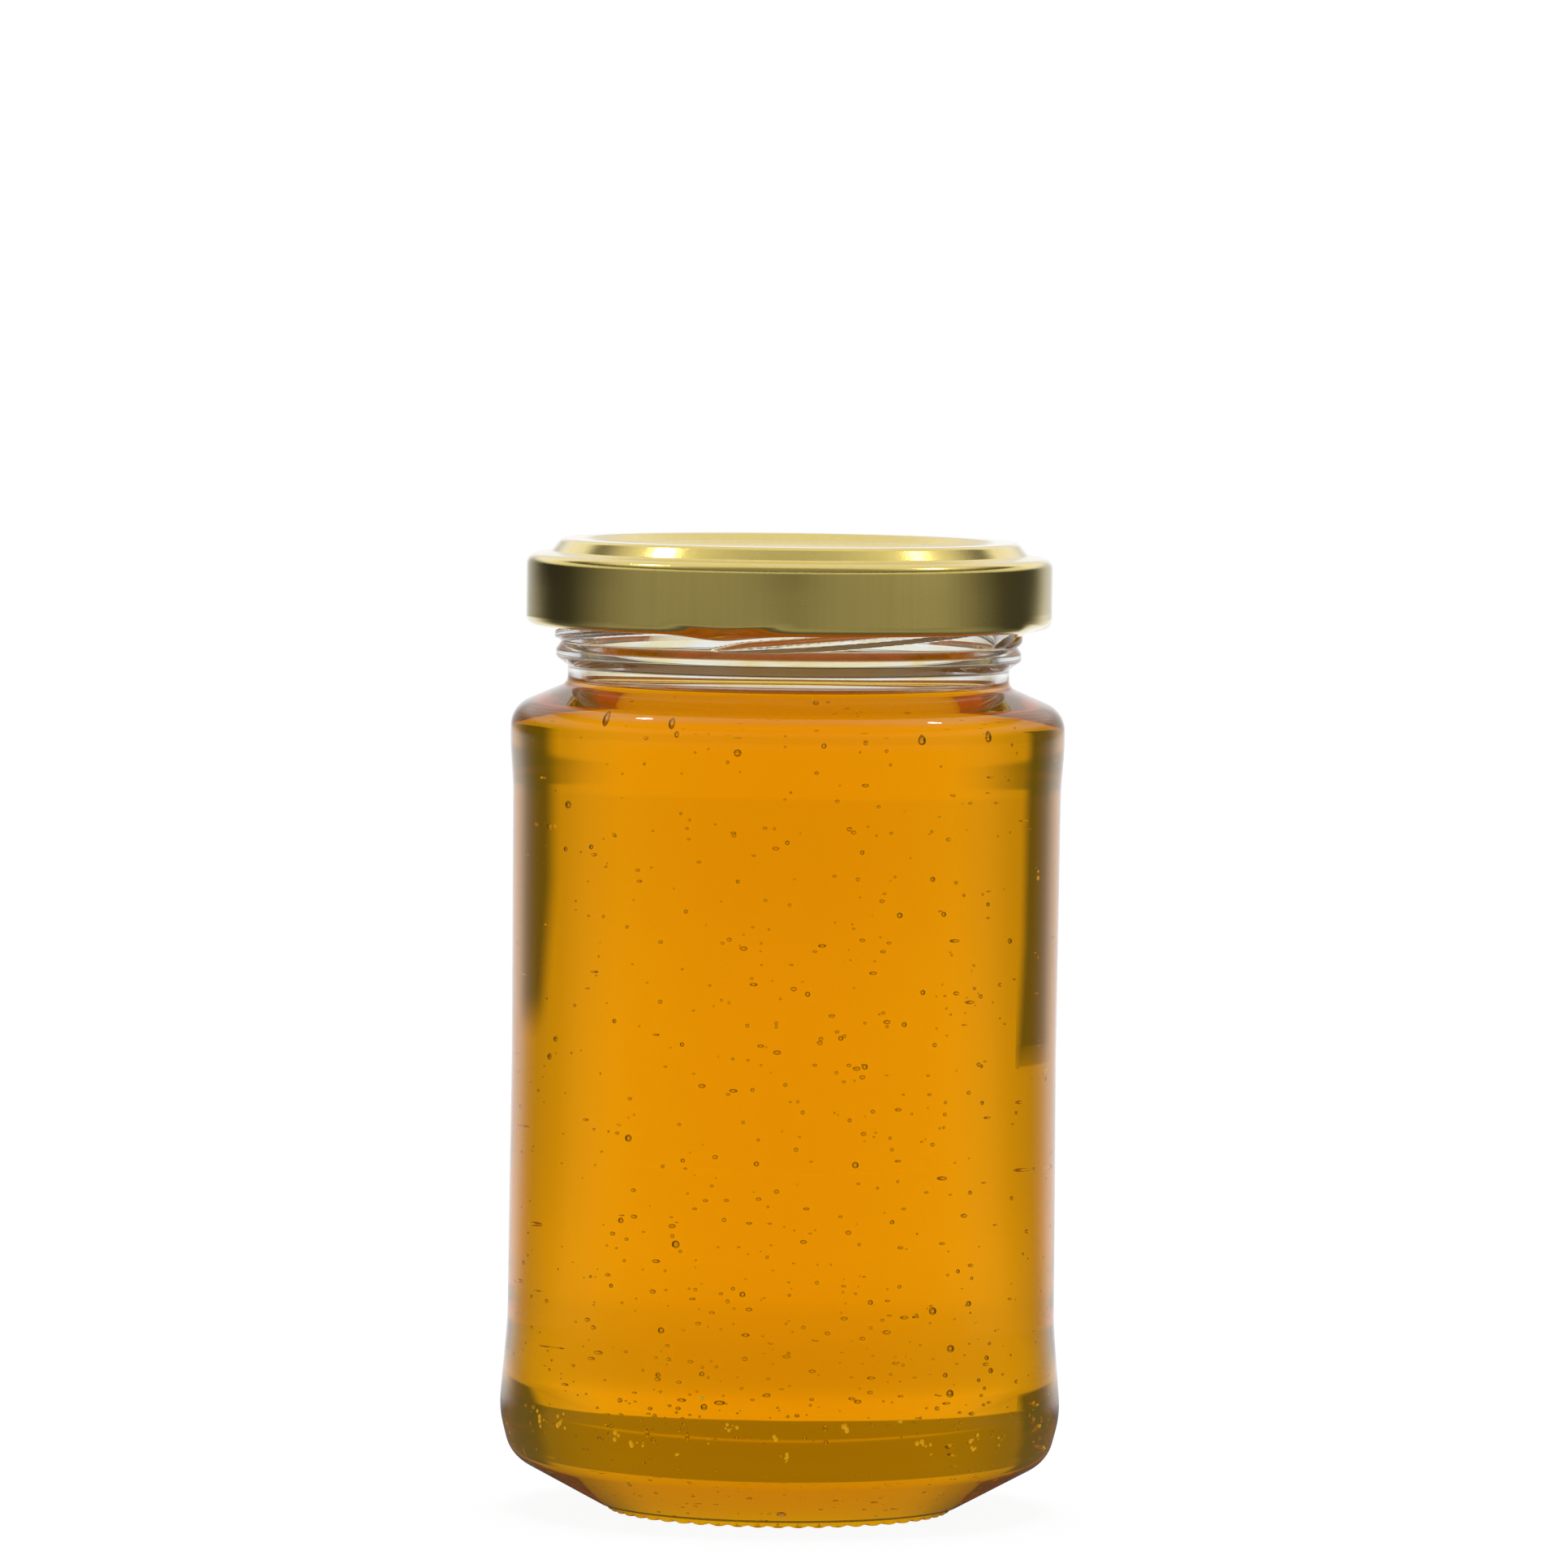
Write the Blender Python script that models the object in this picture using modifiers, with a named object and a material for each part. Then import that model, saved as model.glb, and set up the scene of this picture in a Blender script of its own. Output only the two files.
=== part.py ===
"""Tall round glass jar of honey, closed with a four-lug twist-off lid.

Metres, +Z up. The origin is the centre of the ring that the jar stands on, and -Y is the front.
Four pieces: the glass jar, the honey in it, the pressed tinplate lid and the sealing ring in the lid.
The lid turns about Z and climbs the jar's four-start thread as it turns.
"""

import math

import bmesh
import bpy

# Body of the glass, from the ground up
FOOT_RADIUS = 0.0224
STAND_WIDTH = 0.0022
STAND_STEP = 0.0008
STAND_STEP_RUN = 0.0006
PUSH_UP = 0.0026
FOOT_FILLET = 0.0025
STAND_FILLET = 0.0003
STAND_STEP_FILLET = 0.0008
PUSH_UP_FILLET = 0.0120
CHAMFER_ANGLE = math.radians(30)
PANEL_RADIUS = 0.03585
HEEL_PROUD = 0.0009
HEEL_FILLET = 0.0057
HEEL_BAND = 0.0059
HEEL_TAPER = 0.0108
PANEL_HEIGHT = 0.0705
PANEL_FLARE = 0.0002
PANEL_FILLET = 0.0300
SHOULDER_PROUD = 0.0006
SHOULDER_TAPER = 0.0053
SHOULDER_BAND = 0.0049
SHOULDER_ANGLE = math.radians(23.3)
SHOULDER_FILLET = 0.0050
NECK_FILLET = 0.0014

# Neck and lip, which carry the lid
NECK_RADIUS = 0.02995
NECK_UNDERCUT = 0.0009
NECK_HEIGHT = 0.00235
BEAD_PROUD = 0.00065
BEAD_UNDERSIDE = 0.00115
BEAD_FACE = 0.0010
BEAD_TOPSIDE = 0.00095
BEAD_FILLET = 0.0005
FINISH_HEIGHT = 0.01165
LIP_FILLET = 0.0010

# Walls
WALL = 0.0024
SHOULDER_WALL = 0.0023
NECK_WALL = 0.00265
HEEL_WALL = 0.0042
BASE_WALL = 0.0044
FLOOR_FILLET = 0.0090
CAVITY_HEEL_FILLET = 0.0070
CAVITY_SHOULDER_FILLET = 0.0038
BORE_FILLET = 0.0030

# Four-start thread, right handed; angles run from the front towards +X
THREAD_STARTS = 4
THREAD_LEAD = 0.0146
THREAD_RELIEF = 0.00095
THREAD_HEIGHT = 0.0017
THREAD_CREST_HEIGHT = 0.0009
THREAD_ROOT_DEPTH = 0.0004
THREAD_RISE_OVER_BEAD = 0.0001
THREAD_TAIL_ANGLE = math.radians(-18)
THREAD_EXTENT = math.radians(104)
THREAD_RUN_IN = math.radians(25)
THREAD_POINT = math.radians(9)
THREAD_END_SHARE = 0.15
THREAD_STEPS = 16

# Honey
CONTENT_GAP = 0.0003
FILL_RISE = 0.00014

# Lid, pressed from sheet and rolled into a curl at its lower edge
SHEET = 0.0004
SEAT_GAP = 0.0003
GASKET_HEIGHT = 0.00095
GASKET_WIDTH = 0.0020
GASKET_FILLET = 0.0003
RIDGE_HALF_WIDTH = 0.0014
RIDGE_FILLET = 0.0011
RECESS_RUN = 0.0018
RECESS_DEPTH = 0.00105
RECESS_FILLET = 0.0010
RISER_RUN = 0.0014
RISER_HEIGHT = 0.00175
LEDGE_FALL = 0.0004
LEDGE_FILLET = 0.0006
LID_SHOULDER_FILLET = 0.0014
CURL_RADIUS = 0.00115
CURL_CLEARANCE = 0.0014
CURL_TURN = math.radians(250)
CURL_STEPS = 8

# Lugs, pressed inwards from the curl
LUG_ANGLE = math.radians(-14)
LUG_EXTENT = math.radians(20)
LUG_STEPS = 6
LUG_REACH_GAP = 0.0004
LUG_THREAD_GAP = 0.00035
LUG_TIP_FILLET = 0.00027
LUG_END_SETBACK = 0.0012
CURL_ABOVE_LUG = 0.00126

# Fineness of the faceted solids
ROUND_STEPS = 48
ARC_STEP = math.radians(30)
SLIGHT_TURN = math.radians(8)
MERGE_DISTANCE = 0.00001

FRONT = math.radians(-90)

# Levels and radii that follow from the sizes above
heel_radius = PANEL_RADIUS + HEEL_PROUD
shoulder_radius = PANEL_RADIUS + SHOULDER_PROUD
neck_foot_radius = NECK_RADIUS - NECK_UNDERCUT
bead_radius = NECK_RADIUS + BEAD_PROUD
bore_radius = NECK_RADIUS - NECK_WALL
cavity_radius = PANEL_RADIUS - WALL
thread_crest_radius = NECK_RADIUS + THREAD_RELIEF

heel_level = (heel_radius - FOOT_RADIUS) * math.tan(CHAMFER_ANGLE)
heel_top = heel_level + HEEL_BAND
panel_low = heel_top + HEEL_TAPER
panel_middle = panel_low + PANEL_HEIGHT / 2
panel_high = panel_low + PANEL_HEIGHT
shoulder_low = panel_high + SHOULDER_TAPER
shoulder_level = shoulder_low + SHOULDER_BAND
neck_foot = shoulder_level + (shoulder_radius - neck_foot_radius) * math.tan(SHOULDER_ANGLE)
bead_foot = neck_foot + NECK_HEIGHT
bead_low = bead_foot + BEAD_UNDERSIDE
bead_high = bead_low + BEAD_FACE
bead_top = bead_high + BEAD_TOPSIDE
lip_level = bead_top + FINISH_HEIGHT

thread_pitch = THREAD_LEAD / THREAD_STARTS
thread_start_level = bead_top + THREAD_RISE_OVER_BEAD
lug_half_height = (thread_pitch - THREAD_HEIGHT) / 2 - LUG_THREAD_GAP
lug_tip_radius = NECK_RADIUS + LUG_REACH_GAP
curl_centre_radius = thread_crest_radius + CURL_CLEARANCE + CURL_RADIUS
lid_radius = curl_centre_radius + CURL_RADIUS
gasket_bottom = lip_level + SEAT_GAP
gasket_top = gasket_bottom + GASKET_HEIGHT
lid_top = gasket_top + SEAT_GAP + SHEET
lip_middle_radius = (bore_radius + NECK_RADIUS) / 2


def helix_level(angle):
    """Level of a thread's middle at this angle from the front."""
    return thread_start_level + THREAD_LEAD * (angle - THREAD_TAIL_ANGLE) / math.tau


def lug_level(angle):
    """A lug runs midway between one thread and the next one up."""
    return helix_level(angle) + thread_pitch / 2


curl_level = lug_level(LUG_ANGLE) + CURL_ABOVE_LUG


def line_offset(start, end, distance):
    """Start and end of a line, moved to its right-hand side."""
    run, rise = end[0] - start[0], end[1] - start[1]
    length = math.hypot(run, rise)
    shift = (rise / length * distance, -run / length * distance)
    return [(r + shift[0], z + shift[1]) for r, z in (start, end)]


def crossing(first, second):
    """Where two lines cross, or the first line's end where they are parallel."""
    (r1, z1), (r2, z2) = first
    (r3, z3), (r4, z4) = second
    spread = (r2 - r1) * (z4 - z3) - (z2 - z1) * (r4 - r3)
    if abs(spread) < MERGE_DISTANCE**2:
        return r2, z2
    share = ((r3 - r1) * (z4 - z3) - (z3 - z1) * (r4 - r3)) / spread
    return r1 + share * (r2 - r1), z1 + share * (z2 - z1)


def turn_at(before, corner, after):
    """Angle that the outline turns through at a corner, positive to the left."""
    heading_in = math.atan2(corner[1] - before[1], corner[0] - before[0])
    heading_out = math.atan2(after[1] - corner[1], after[0] - corner[0])
    return (heading_out - heading_in + math.pi) % math.tau - math.pi


def offset_corners(corners, distance):
    """The outline moved to its right-hand side, with its fillets to match. Its start stays on the axis."""
    spots = [(r, z) for r, z, _ in corners]
    lines = [line_offset(a, b, distance) for a, b in zip(spots, spots[1:])]
    moved = [(spots[0][0], lines[0][0][1], corners[0][2])]
    for i in range(1, len(spots) - 1):
        turn = turn_at(spots[i - 1], spots[i], spots[i + 1])
        change = distance if turn > 0 else -distance
        moved.append((*crossing(lines[i - 1], lines[i]), max(corners[i][2] + change, 0)))
    moved.append((*lines[-1][1], corners[-1][2]))
    return moved


def filleted(corners):
    """Points of an outline given as (radius, level, fillet) corners, with each fillet as an arc."""
    points = [corners[0][:2]]
    for before, corner, after in zip(corners, corners[1:], corners[2:]):
        turn = turn_at(before, corner, after)
        length_in = math.dist(before[:2], corner[:2])
        length_out = math.dist(corner[:2], after[:2])
        reach = min(corner[2] * math.tan(abs(turn) / 2), length_in / 2, length_out / 2)
        if reach < MERGE_DISTANCE or abs(turn) < SLIGHT_TURN:
            points.append(corner[:2])
            continue
        heading = math.atan2(corner[1] - before[1], corner[0] - before[0])
        radius = reach / math.tan(abs(turn) / 2)
        side = math.copysign(1, turn)
        start = (corner[0] - reach * math.cos(heading), corner[1] - reach * math.sin(heading))
        centre = (start[0] - side * radius * math.sin(heading), start[1] + side * radius * math.cos(heading))
        steps = max(1, math.ceil(abs(turn) / ARC_STEP))
        for i in range(steps + 1):
            angle = heading + turn * i / steps
            points.append((centre[0] + side * radius * math.sin(angle), centre[1] - side * radius * math.cos(angle)))
    points.append(corners[-1][:2])
    return points


def new_object(name, mesh, collection):
    obj = bpy.data.objects.new(name, mesh)
    collection.objects.link(obj)
    return obj


def turned(name, points, collection, closed=False):
    """Turns an outline about Z. It runs down the outer side of the piece."""
    mesh = bpy.data.meshes.new(name)
    edges = [(i, i + 1) for i in range(len(points) - 1)]
    if closed:
        edges.append((len(points) - 1, 0))
    mesh.from_pydata([(r, 0, z) for r, z in points], edges, [])
    obj = new_object(name, mesh, collection)
    screw = obj.modifiers.new("Turn", "SCREW")
    screw.axis = "Z"
    screw.angle = math.tau
    screw.steps = ROUND_STEPS
    screw.render_steps = ROUND_STEPS
    screw.use_merge_vertices = True
    screw.merge_threshold = MERGE_DISTANCE
    screw.use_smooth_shade = True
    return obj


def swept_ridges(name, rings_of_one, collection):
    """Copies a closed ridge, given as rings of (angle, radius, level), to each start of the thread."""
    shape = bmesh.new()
    for start in range(THREAD_STARTS):
        around = FRONT + math.tau * start / THREAD_STARTS
        rings = []
        for ring in rings_of_one:
            spots = [(r * math.cos(a + around), r * math.sin(a + around), z) for a, r, z in ring]
            rings.append([shape.verts.new(spot) for spot in spots])
        for low, high in zip(rings, rings[1:]):
            for i, vertex in enumerate(low):
                before = i - 1
                shape.faces.new((low[before], vertex, high[i], high[before]))
        shape.faces.new(rings[0])
        shape.faces.new(rings[-1])
    bmesh.ops.recalc_face_normals(shape, faces=shape.faces)
    mesh = bpy.data.meshes.new(name)
    shape.to_mesh(mesh)
    shape.free()
    obj = new_object(name, mesh, collection)
    obj.hide_render = True
    obj.display_type = "WIRE"
    return obj


def join_to(obj, tool):
    union = obj.modifiers.new("Join " + tool.name, "BOOLEAN")
    union.operation = "UNION"
    union.solver = "EXACT"
    union.object = tool


def material(name, colour, roughness, metallic=0.0, transmission=0.0, ior=1.5):
    made = bpy.data.materials.new(name)
    made.use_nodes = True
    shader = made.node_tree.nodes["Principled BSDF"]
    shader.inputs["Base Color"].default_value = (*colour, 1)
    shader.inputs["Roughness"].default_value = roughness
    shader.inputs["Metallic"].default_value = metallic
    shader.inputs["Transmission Weight"].default_value = transmission
    shader.inputs["IOR"].default_value = ior
    made.diffuse_color = (*colour, 1)
    return made


def cavity_corners():
    """The hollow of the jar, from the middle of its floor up to the lip."""
    foot_level = STAND_STEP + BASE_WALL
    heel_shift = HEEL_WALL / math.cos(CHAMFER_ANGLE)
    floor_radius = FOOT_RADIUS + (foot_level - heel_shift) / math.tan(CHAMFER_ANGLE)
    cavity_heel = heel_shift + (cavity_radius - FOOT_RADIUS) * math.tan(CHAMFER_ANGLE)
    shoulder_shift = SHOULDER_WALL / math.cos(SHOULDER_ANGLE)
    cavity_shoulder = shoulder_level - shoulder_shift + (shoulder_radius - cavity_radius) * math.tan(SHOULDER_ANGLE)
    bore_foot = cavity_shoulder + (cavity_radius - bore_radius) * math.tan(SHOULDER_ANGLE)
    return [
        (0, PUSH_UP + BASE_WALL, 0),
        (floor_radius, foot_level, FLOOR_FILLET),
        (cavity_radius, cavity_heel, CAVITY_HEEL_FILLET),
        (cavity_radius, cavity_shoulder, CAVITY_SHOULDER_FILLET),
        (bore_radius, bore_foot, BORE_FILLET),
        (bore_radius, lip_level, LIP_FILLET),
    ]


def outer_corners():
    """The outside of the jar, from the lip down to the middle of its underside."""
    stand_inner = FOOT_RADIUS - STAND_WIDTH
    step_radius = stand_inner - STAND_STEP_RUN
    return [
        (NECK_RADIUS, lip_level, LIP_FILLET),
        (NECK_RADIUS, bead_top, BEAD_FILLET),
        (bead_radius, bead_high, BEAD_FILLET),
        (bead_radius, bead_low, BEAD_FILLET),
        (neck_foot_radius, bead_foot, BEAD_FILLET),
        (neck_foot_radius, neck_foot, NECK_FILLET),
        (shoulder_radius, shoulder_level, SHOULDER_FILLET),
        (shoulder_radius, shoulder_low, PANEL_FILLET),
        (PANEL_RADIUS + PANEL_FLARE, panel_high, PANEL_FILLET),
        (PANEL_RADIUS, panel_middle, PANEL_FILLET),
        (PANEL_RADIUS + PANEL_FLARE, panel_low, PANEL_FILLET),
        (heel_radius, heel_top, PANEL_FILLET),
        (heel_radius, heel_level, HEEL_FILLET),
        (FOOT_RADIUS, 0, FOOT_FILLET),
        (stand_inner, 0, STAND_FILLET),
        (step_radius, STAND_STEP, STAND_STEP_FILLET),
        (step_radius / 2, PUSH_UP, PUSH_UP_FILLET),
        (0, PUSH_UP, 0),
    ]


def thread_rings():
    """One thread: a rounded ridge that grows out of the neck at its tail and fades at its head."""
    rings = []
    for i in range(THREAD_STEPS + 1):
        phase = THREAD_EXTENT * i / THREAD_STEPS
        from_end = min(phase, THREAD_EXTENT - phase)
        relief = THREAD_RELIEF * max(THREAD_END_SHARE, min(1, from_end / THREAD_RUN_IN))
        point_share = max(THREAD_END_SHARE, min(1, from_end / THREAD_POINT))
        root_half = THREAD_HEIGHT / 2 * point_share
        crest_half = THREAD_CREST_HEIGHT / 2 * point_share
        angle = THREAD_TAIL_ANGLE + phase
        level = helix_level(angle)
        root = NECK_RADIUS - THREAD_ROOT_DEPTH
        section = [
            (root, -root_half),
            (NECK_RADIUS, -root_half),
            (NECK_RADIUS + relief, -crest_half),
            (NECK_RADIUS + relief, crest_half),
            (NECK_RADIUS, root_half),
            (root, root_half),
        ]
        rings.append([(angle, r, level + lift) for r, lift in section])
    return rings


def lug_rings():
    """One lug: a tongue from the curl that reaches under a thread, set back at both ends."""
    rings = []
    for i in range(LUG_STEPS + 1):
        share = i / LUG_STEPS
        angle = LUG_ANGLE + LUG_EXTENT * (share - 1 / 2)
        level = lug_level(angle)
        setback = LUG_END_SETBACK if i in (0, LUG_STEPS) else 0
        tip = lug_tip_radius + setback
        root_low = CURL_ABOVE_LUG - CURL_RADIUS + SHEET / 2
        section = [
            (tip + LUG_TIP_FILLET, -lug_half_height),
            (tip, -lug_half_height + LUG_TIP_FILLET),
            (tip, lug_half_height - LUG_TIP_FILLET),
            (tip + LUG_TIP_FILLET, lug_half_height),
            (curl_centre_radius, CURL_ABOVE_LUG),
            (curl_centre_radius, root_low),
        ]
        rings.append([(angle, r, level + lift) for r, lift in section])
    return rings


def lid_corners():
    """The lid's outer face, from the middle of its top down to where the curl starts."""
    ridge_inner = lip_middle_radius - RIDGE_HALF_WIDTH
    ridge_outer = lip_middle_radius + RIDGE_HALF_WIDTH
    ledge_level = lid_top - RISER_HEIGHT
    return [
        (0, lid_top - RECESS_DEPTH, 0),
        (ridge_inner - RECESS_RUN, lid_top - RECESS_DEPTH, RECESS_FILLET),
        (ridge_inner, lid_top, RIDGE_FILLET),
        (ridge_outer, lid_top, RIDGE_FILLET),
        (ridge_outer + RISER_RUN, ledge_level, LEDGE_FILLET),
        (lid_radius, ledge_level - LEDGE_FALL, LID_SHOULDER_FILLET),
        (lid_radius, curl_level, 0),
    ]


def curl_arc(radius, steps):
    """The curl rolls down, in and up again round its own centre."""
    arc = []
    for i in range(1, steps + 1):
        angle = -CURL_TURN * i / steps
        arc.append((curl_centre_radius + radius * math.cos(angle), curl_level + radius * math.sin(angle)))
    return arc


def build_glass_jar(parts, cutters):
    jar = turned("glass_jar", filleted(cavity_corners() + outer_corners()), parts)
    join_to(jar, swept_ridges("thread_ridges", thread_rings(), cutters))
    jar.data.materials.append(material("clear_glass", (0.93, 0.95, 0.93), 0.03, transmission=1.0, ior=1.52))
    return jar


def build_honey(parts):
    fill_level = neck_foot + FILL_RISE
    below_lip = cavity_corners()[:-1]
    wetted = offset_corners(below_lip + [(bore_radius, fill_level, 0)], -CONTENT_GAP)
    outline = filleted(wetted)[::-1]
    honey = turned("honey", [(0, fill_level)] + outline, parts)
    honey.data.materials.append(material("amber_honey", (0.78, 0.29, 0.01), 0.05, transmission=0.9, ior=1.49))
    return honey


def build_lid_shell(parts, cutters):
    outside = lid_corners()
    inside = offset_corners(outside, SHEET)
    curl_outside = curl_arc(CURL_RADIUS, CURL_STEPS)
    curl_inside = curl_arc(CURL_RADIUS - SHEET, CURL_STEPS)
    outline = filleted(outside) + curl_outside + curl_inside[::-1] + filleted(inside)[::-1]
    lid = turned("lid_shell", outline, parts)
    join_to(lid, swept_ridges("lug_tongues", lug_rings(), cutters))
    lid.data.materials.append(material("gold_lacquered_tinplate", (0.55, 0.46, 0.2), 0.3, metallic=1.0))
    return lid


def build_lid_gasket(parts):
    inner = lip_middle_radius - GASKET_WIDTH / 2
    outer = lip_middle_radius + GASKET_WIDTH / 2
    corners = [
        (inner, gasket_bottom, 0),
        (inner, gasket_top, GASKET_FILLET),
        (outer, gasket_top, GASKET_FILLET),
        (outer, gasket_bottom, 0),
    ]
    gasket = turned("lid_gasket", filleted(corners), parts, closed=True)
    gasket.data.materials.append(material("cream_sealing_compound", (0.82, 0.78, 0.66), 0.5))
    return gasket


def main():
    for old in list(bpy.data.objects):
        bpy.data.objects.remove(old)
    parts = bpy.data.collections.new("honey_jar")
    cutters = bpy.data.collections.new("cutters")
    bpy.context.scene.collection.children.link(parts)
    bpy.context.scene.collection.children.link(cutters)
    build_glass_jar(parts, cutters)
    build_honey(parts)
    lid_axis = new_object("lid_axis", None, parts)
    lid_axis.location = (0, 0, curl_level)
    for piece in (build_lid_gasket(parts), build_lid_shell(parts, cutters)):
        piece.parent = lid_axis
        piece.location = (0, 0, -curl_level)


main()
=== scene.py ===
# %% [markdown]
# # A jar of honey, made in Blender
# The object is a tall round glass jar filled with amber honey and closed by a gold twist-off lid.
# Its CAD solids are already packed, and they are loaded here as a fixed frame. Everything that is
# made below takes its place from that frame, in metres, with +Z up and the front at -Y.

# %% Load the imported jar
import math

import bmesh
import bpy
import numpy as np
from mathutils import Matrix, Vector


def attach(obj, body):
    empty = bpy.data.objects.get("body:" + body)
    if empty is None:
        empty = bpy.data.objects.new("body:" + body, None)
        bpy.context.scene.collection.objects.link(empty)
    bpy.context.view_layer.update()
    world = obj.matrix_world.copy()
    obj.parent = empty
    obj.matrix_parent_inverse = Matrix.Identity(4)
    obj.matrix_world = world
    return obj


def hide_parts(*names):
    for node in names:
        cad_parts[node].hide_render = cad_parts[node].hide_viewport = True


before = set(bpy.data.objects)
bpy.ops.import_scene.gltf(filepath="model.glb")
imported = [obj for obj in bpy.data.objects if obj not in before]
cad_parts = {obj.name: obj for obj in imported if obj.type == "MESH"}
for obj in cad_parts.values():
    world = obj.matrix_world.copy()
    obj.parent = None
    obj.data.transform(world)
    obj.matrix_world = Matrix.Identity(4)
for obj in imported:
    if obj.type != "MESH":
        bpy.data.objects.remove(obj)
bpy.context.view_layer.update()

MM = 0.001

# %% [markdown]
# ## The camera
# The photograph was taken from well back with a long lens, a little above the lid, so that the lid's
# top shows as a thin ellipse. A camera close by with a wide lens could frame the jar as well, but it
# would bend the ellipses more. A long lens is a small field of view: at 1.55 m the jar fills a third
# of the frame. The camera was held very slightly turned, which the roll repeats.

# %% Camera
CAMERA_DISTANCE = 1.55
CAMERA_HEIGHT = 0.180
CAMERA_SIDE = -0.00048
CAMERA_PITCH = math.radians(-3.11)
CAMERA_ROLL = math.radians(0.70)
FOCAL_LENGTH = 270.8
SENSOR_WIDTH = 36
NEAREST, FARTHEST = 0.05, 50

camera_data = bpy.data.cameras.new("jar_camera")
camera_data.sensor_width = SENSOR_WIDTH
camera_data.lens = FOCAL_LENGTH
camera_data.clip_start = NEAREST
camera_data.clip_end = FARTHEST
camera = bpy.data.objects.new("jar_camera", camera_data)
bpy.context.scene.collection.objects.link(camera)
pitched = Matrix.Rotation(math.radians(90) + CAMERA_PITCH, 4, "X")
rolled = Matrix.Rotation(CAMERA_ROLL, 4, "Z")
place = Matrix.Translation((CAMERA_SIDE, -CAMERA_DISTANCE, CAMERA_HEIGHT))
camera.matrix_world = place @ pitched @ rolled
bpy.context.scene.camera = camera
print("the camera looks down by", round(-math.degrees(CAMERA_PITCH), 2), "degrees")

# %% [markdown]
# Light goes through many faces of glass, honey and air before it comes out of a jar. A ray that is
# given up too early is black, so the number of turns that a ray may take is raised well above the
# usual one. Colours are shown plainly, without a film look.

# %% Light paths
BOUNCES = 32
bpy.context.scene.view_settings.view_transform = "Standard"
light_paths = bpy.context.scene.cycles
light_paths.max_bounces = light_paths.glossy_bounces = light_paths.transmission_bounces = BOUNCES
print("a ray may turn", BOUNCES, "times")

# %% [markdown]
# ## Small node helpers
# Every finish below is a node tree. Clicking the nodes together by hand would do as well, but in code
# a few helpers keep the trees short: one makes a material with its Principled shader, one adds a node
# with its settings, one feeds a node's inputs from links or plain numbers, and the rest make the
# three nodes that are used most, for sums, blends and soft ramps.

# %% Node helpers
def new_material(name):
    made = bpy.data.materials.new(name)
    made.use_nodes = True
    return made, made.node_tree, made.node_tree.nodes["Principled BSDF"]


def add_node(tree, kind, **settings):
    node = tree.nodes.new("ShaderNode" + kind)
    for key, value in settings.items():
        setattr(node, key, value)
    return node


def feed(tree, node, **inputs):
    """Gives a node's inputs a link or a value: i3 is input number 3, and _ is a space in a name."""
    for key, value in inputs.items():
        numbered = key[0] == "i" and key[1:].isdigit()
        socket = node.inputs[int(key[1:]) if numbered else key.replace("_", " ")]
        if isinstance(value, bpy.types.NodeSocket):
            tree.links.new(value, socket)
        else:
            socket.default_value = value
    return node


# %% Sums, blends and soft ramps
def maths(tree, operation, a, b=0.0, clamp=False):
    node = add_node(tree, "Math", operation=operation, use_clamp=clamp)
    return feed(tree, node, i0=a, i1=b).outputs[0]


def blend(tree, share, low, high):
    """low where share is 0 and high where it is 1."""
    return feed(tree, add_node(tree, "Mix"), i0=share, i2=low, i3=high).outputs[0]


def blend_colours(tree, share, low, high):
    """The same for two colours."""
    return feed(tree, add_node(tree, "Mix", data_type="RGBA"), i0=share, i6=low, i7=high).outputs[2]


def eased(tree, value, start, end, low=0.0, high=1.0):
    """Goes softly from low to high while value goes from start to end."""
    node = add_node(tree, "MapRange", interpolation_type="SMOOTHSTEP")
    return feed(tree, node, i0=value, i1=start, i2=end, i3=low, i4=high).outputs[0]


# %% [markdown]
# ## The studio
# Glass and honey have hardly any colour of their own: what they show is the room behind them, bent
# and tinted. So the room matters as much as the jar. Here it is a white sweep, brightest straight
# behind the jar and falling off to the sides, and dark towards the camera, as a studio is. A picture
# of a real studio could be wrapped round the scene, but plain tones by angle need no file and are
# easy to tune. The camera itself sees plain white. Rays that went through the glass, and rays that
# were mirrored in glass or tinplate, each see their own tones of the same room. The tones are one
# node group, because the world and the floor share them.

# %% Tones of the room
# Each stop is an angle in degrees off straight behind the jar, minus to the left, and the brightness
# there. Far tones belong to the world and the floor's far part, near ones to the floor close by, and
# the last two to what the jar mirrors from higher up.
def both_ways(stops):
    return [(-angle, tone) for angle, tone in reversed(stops)] + stops


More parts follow.
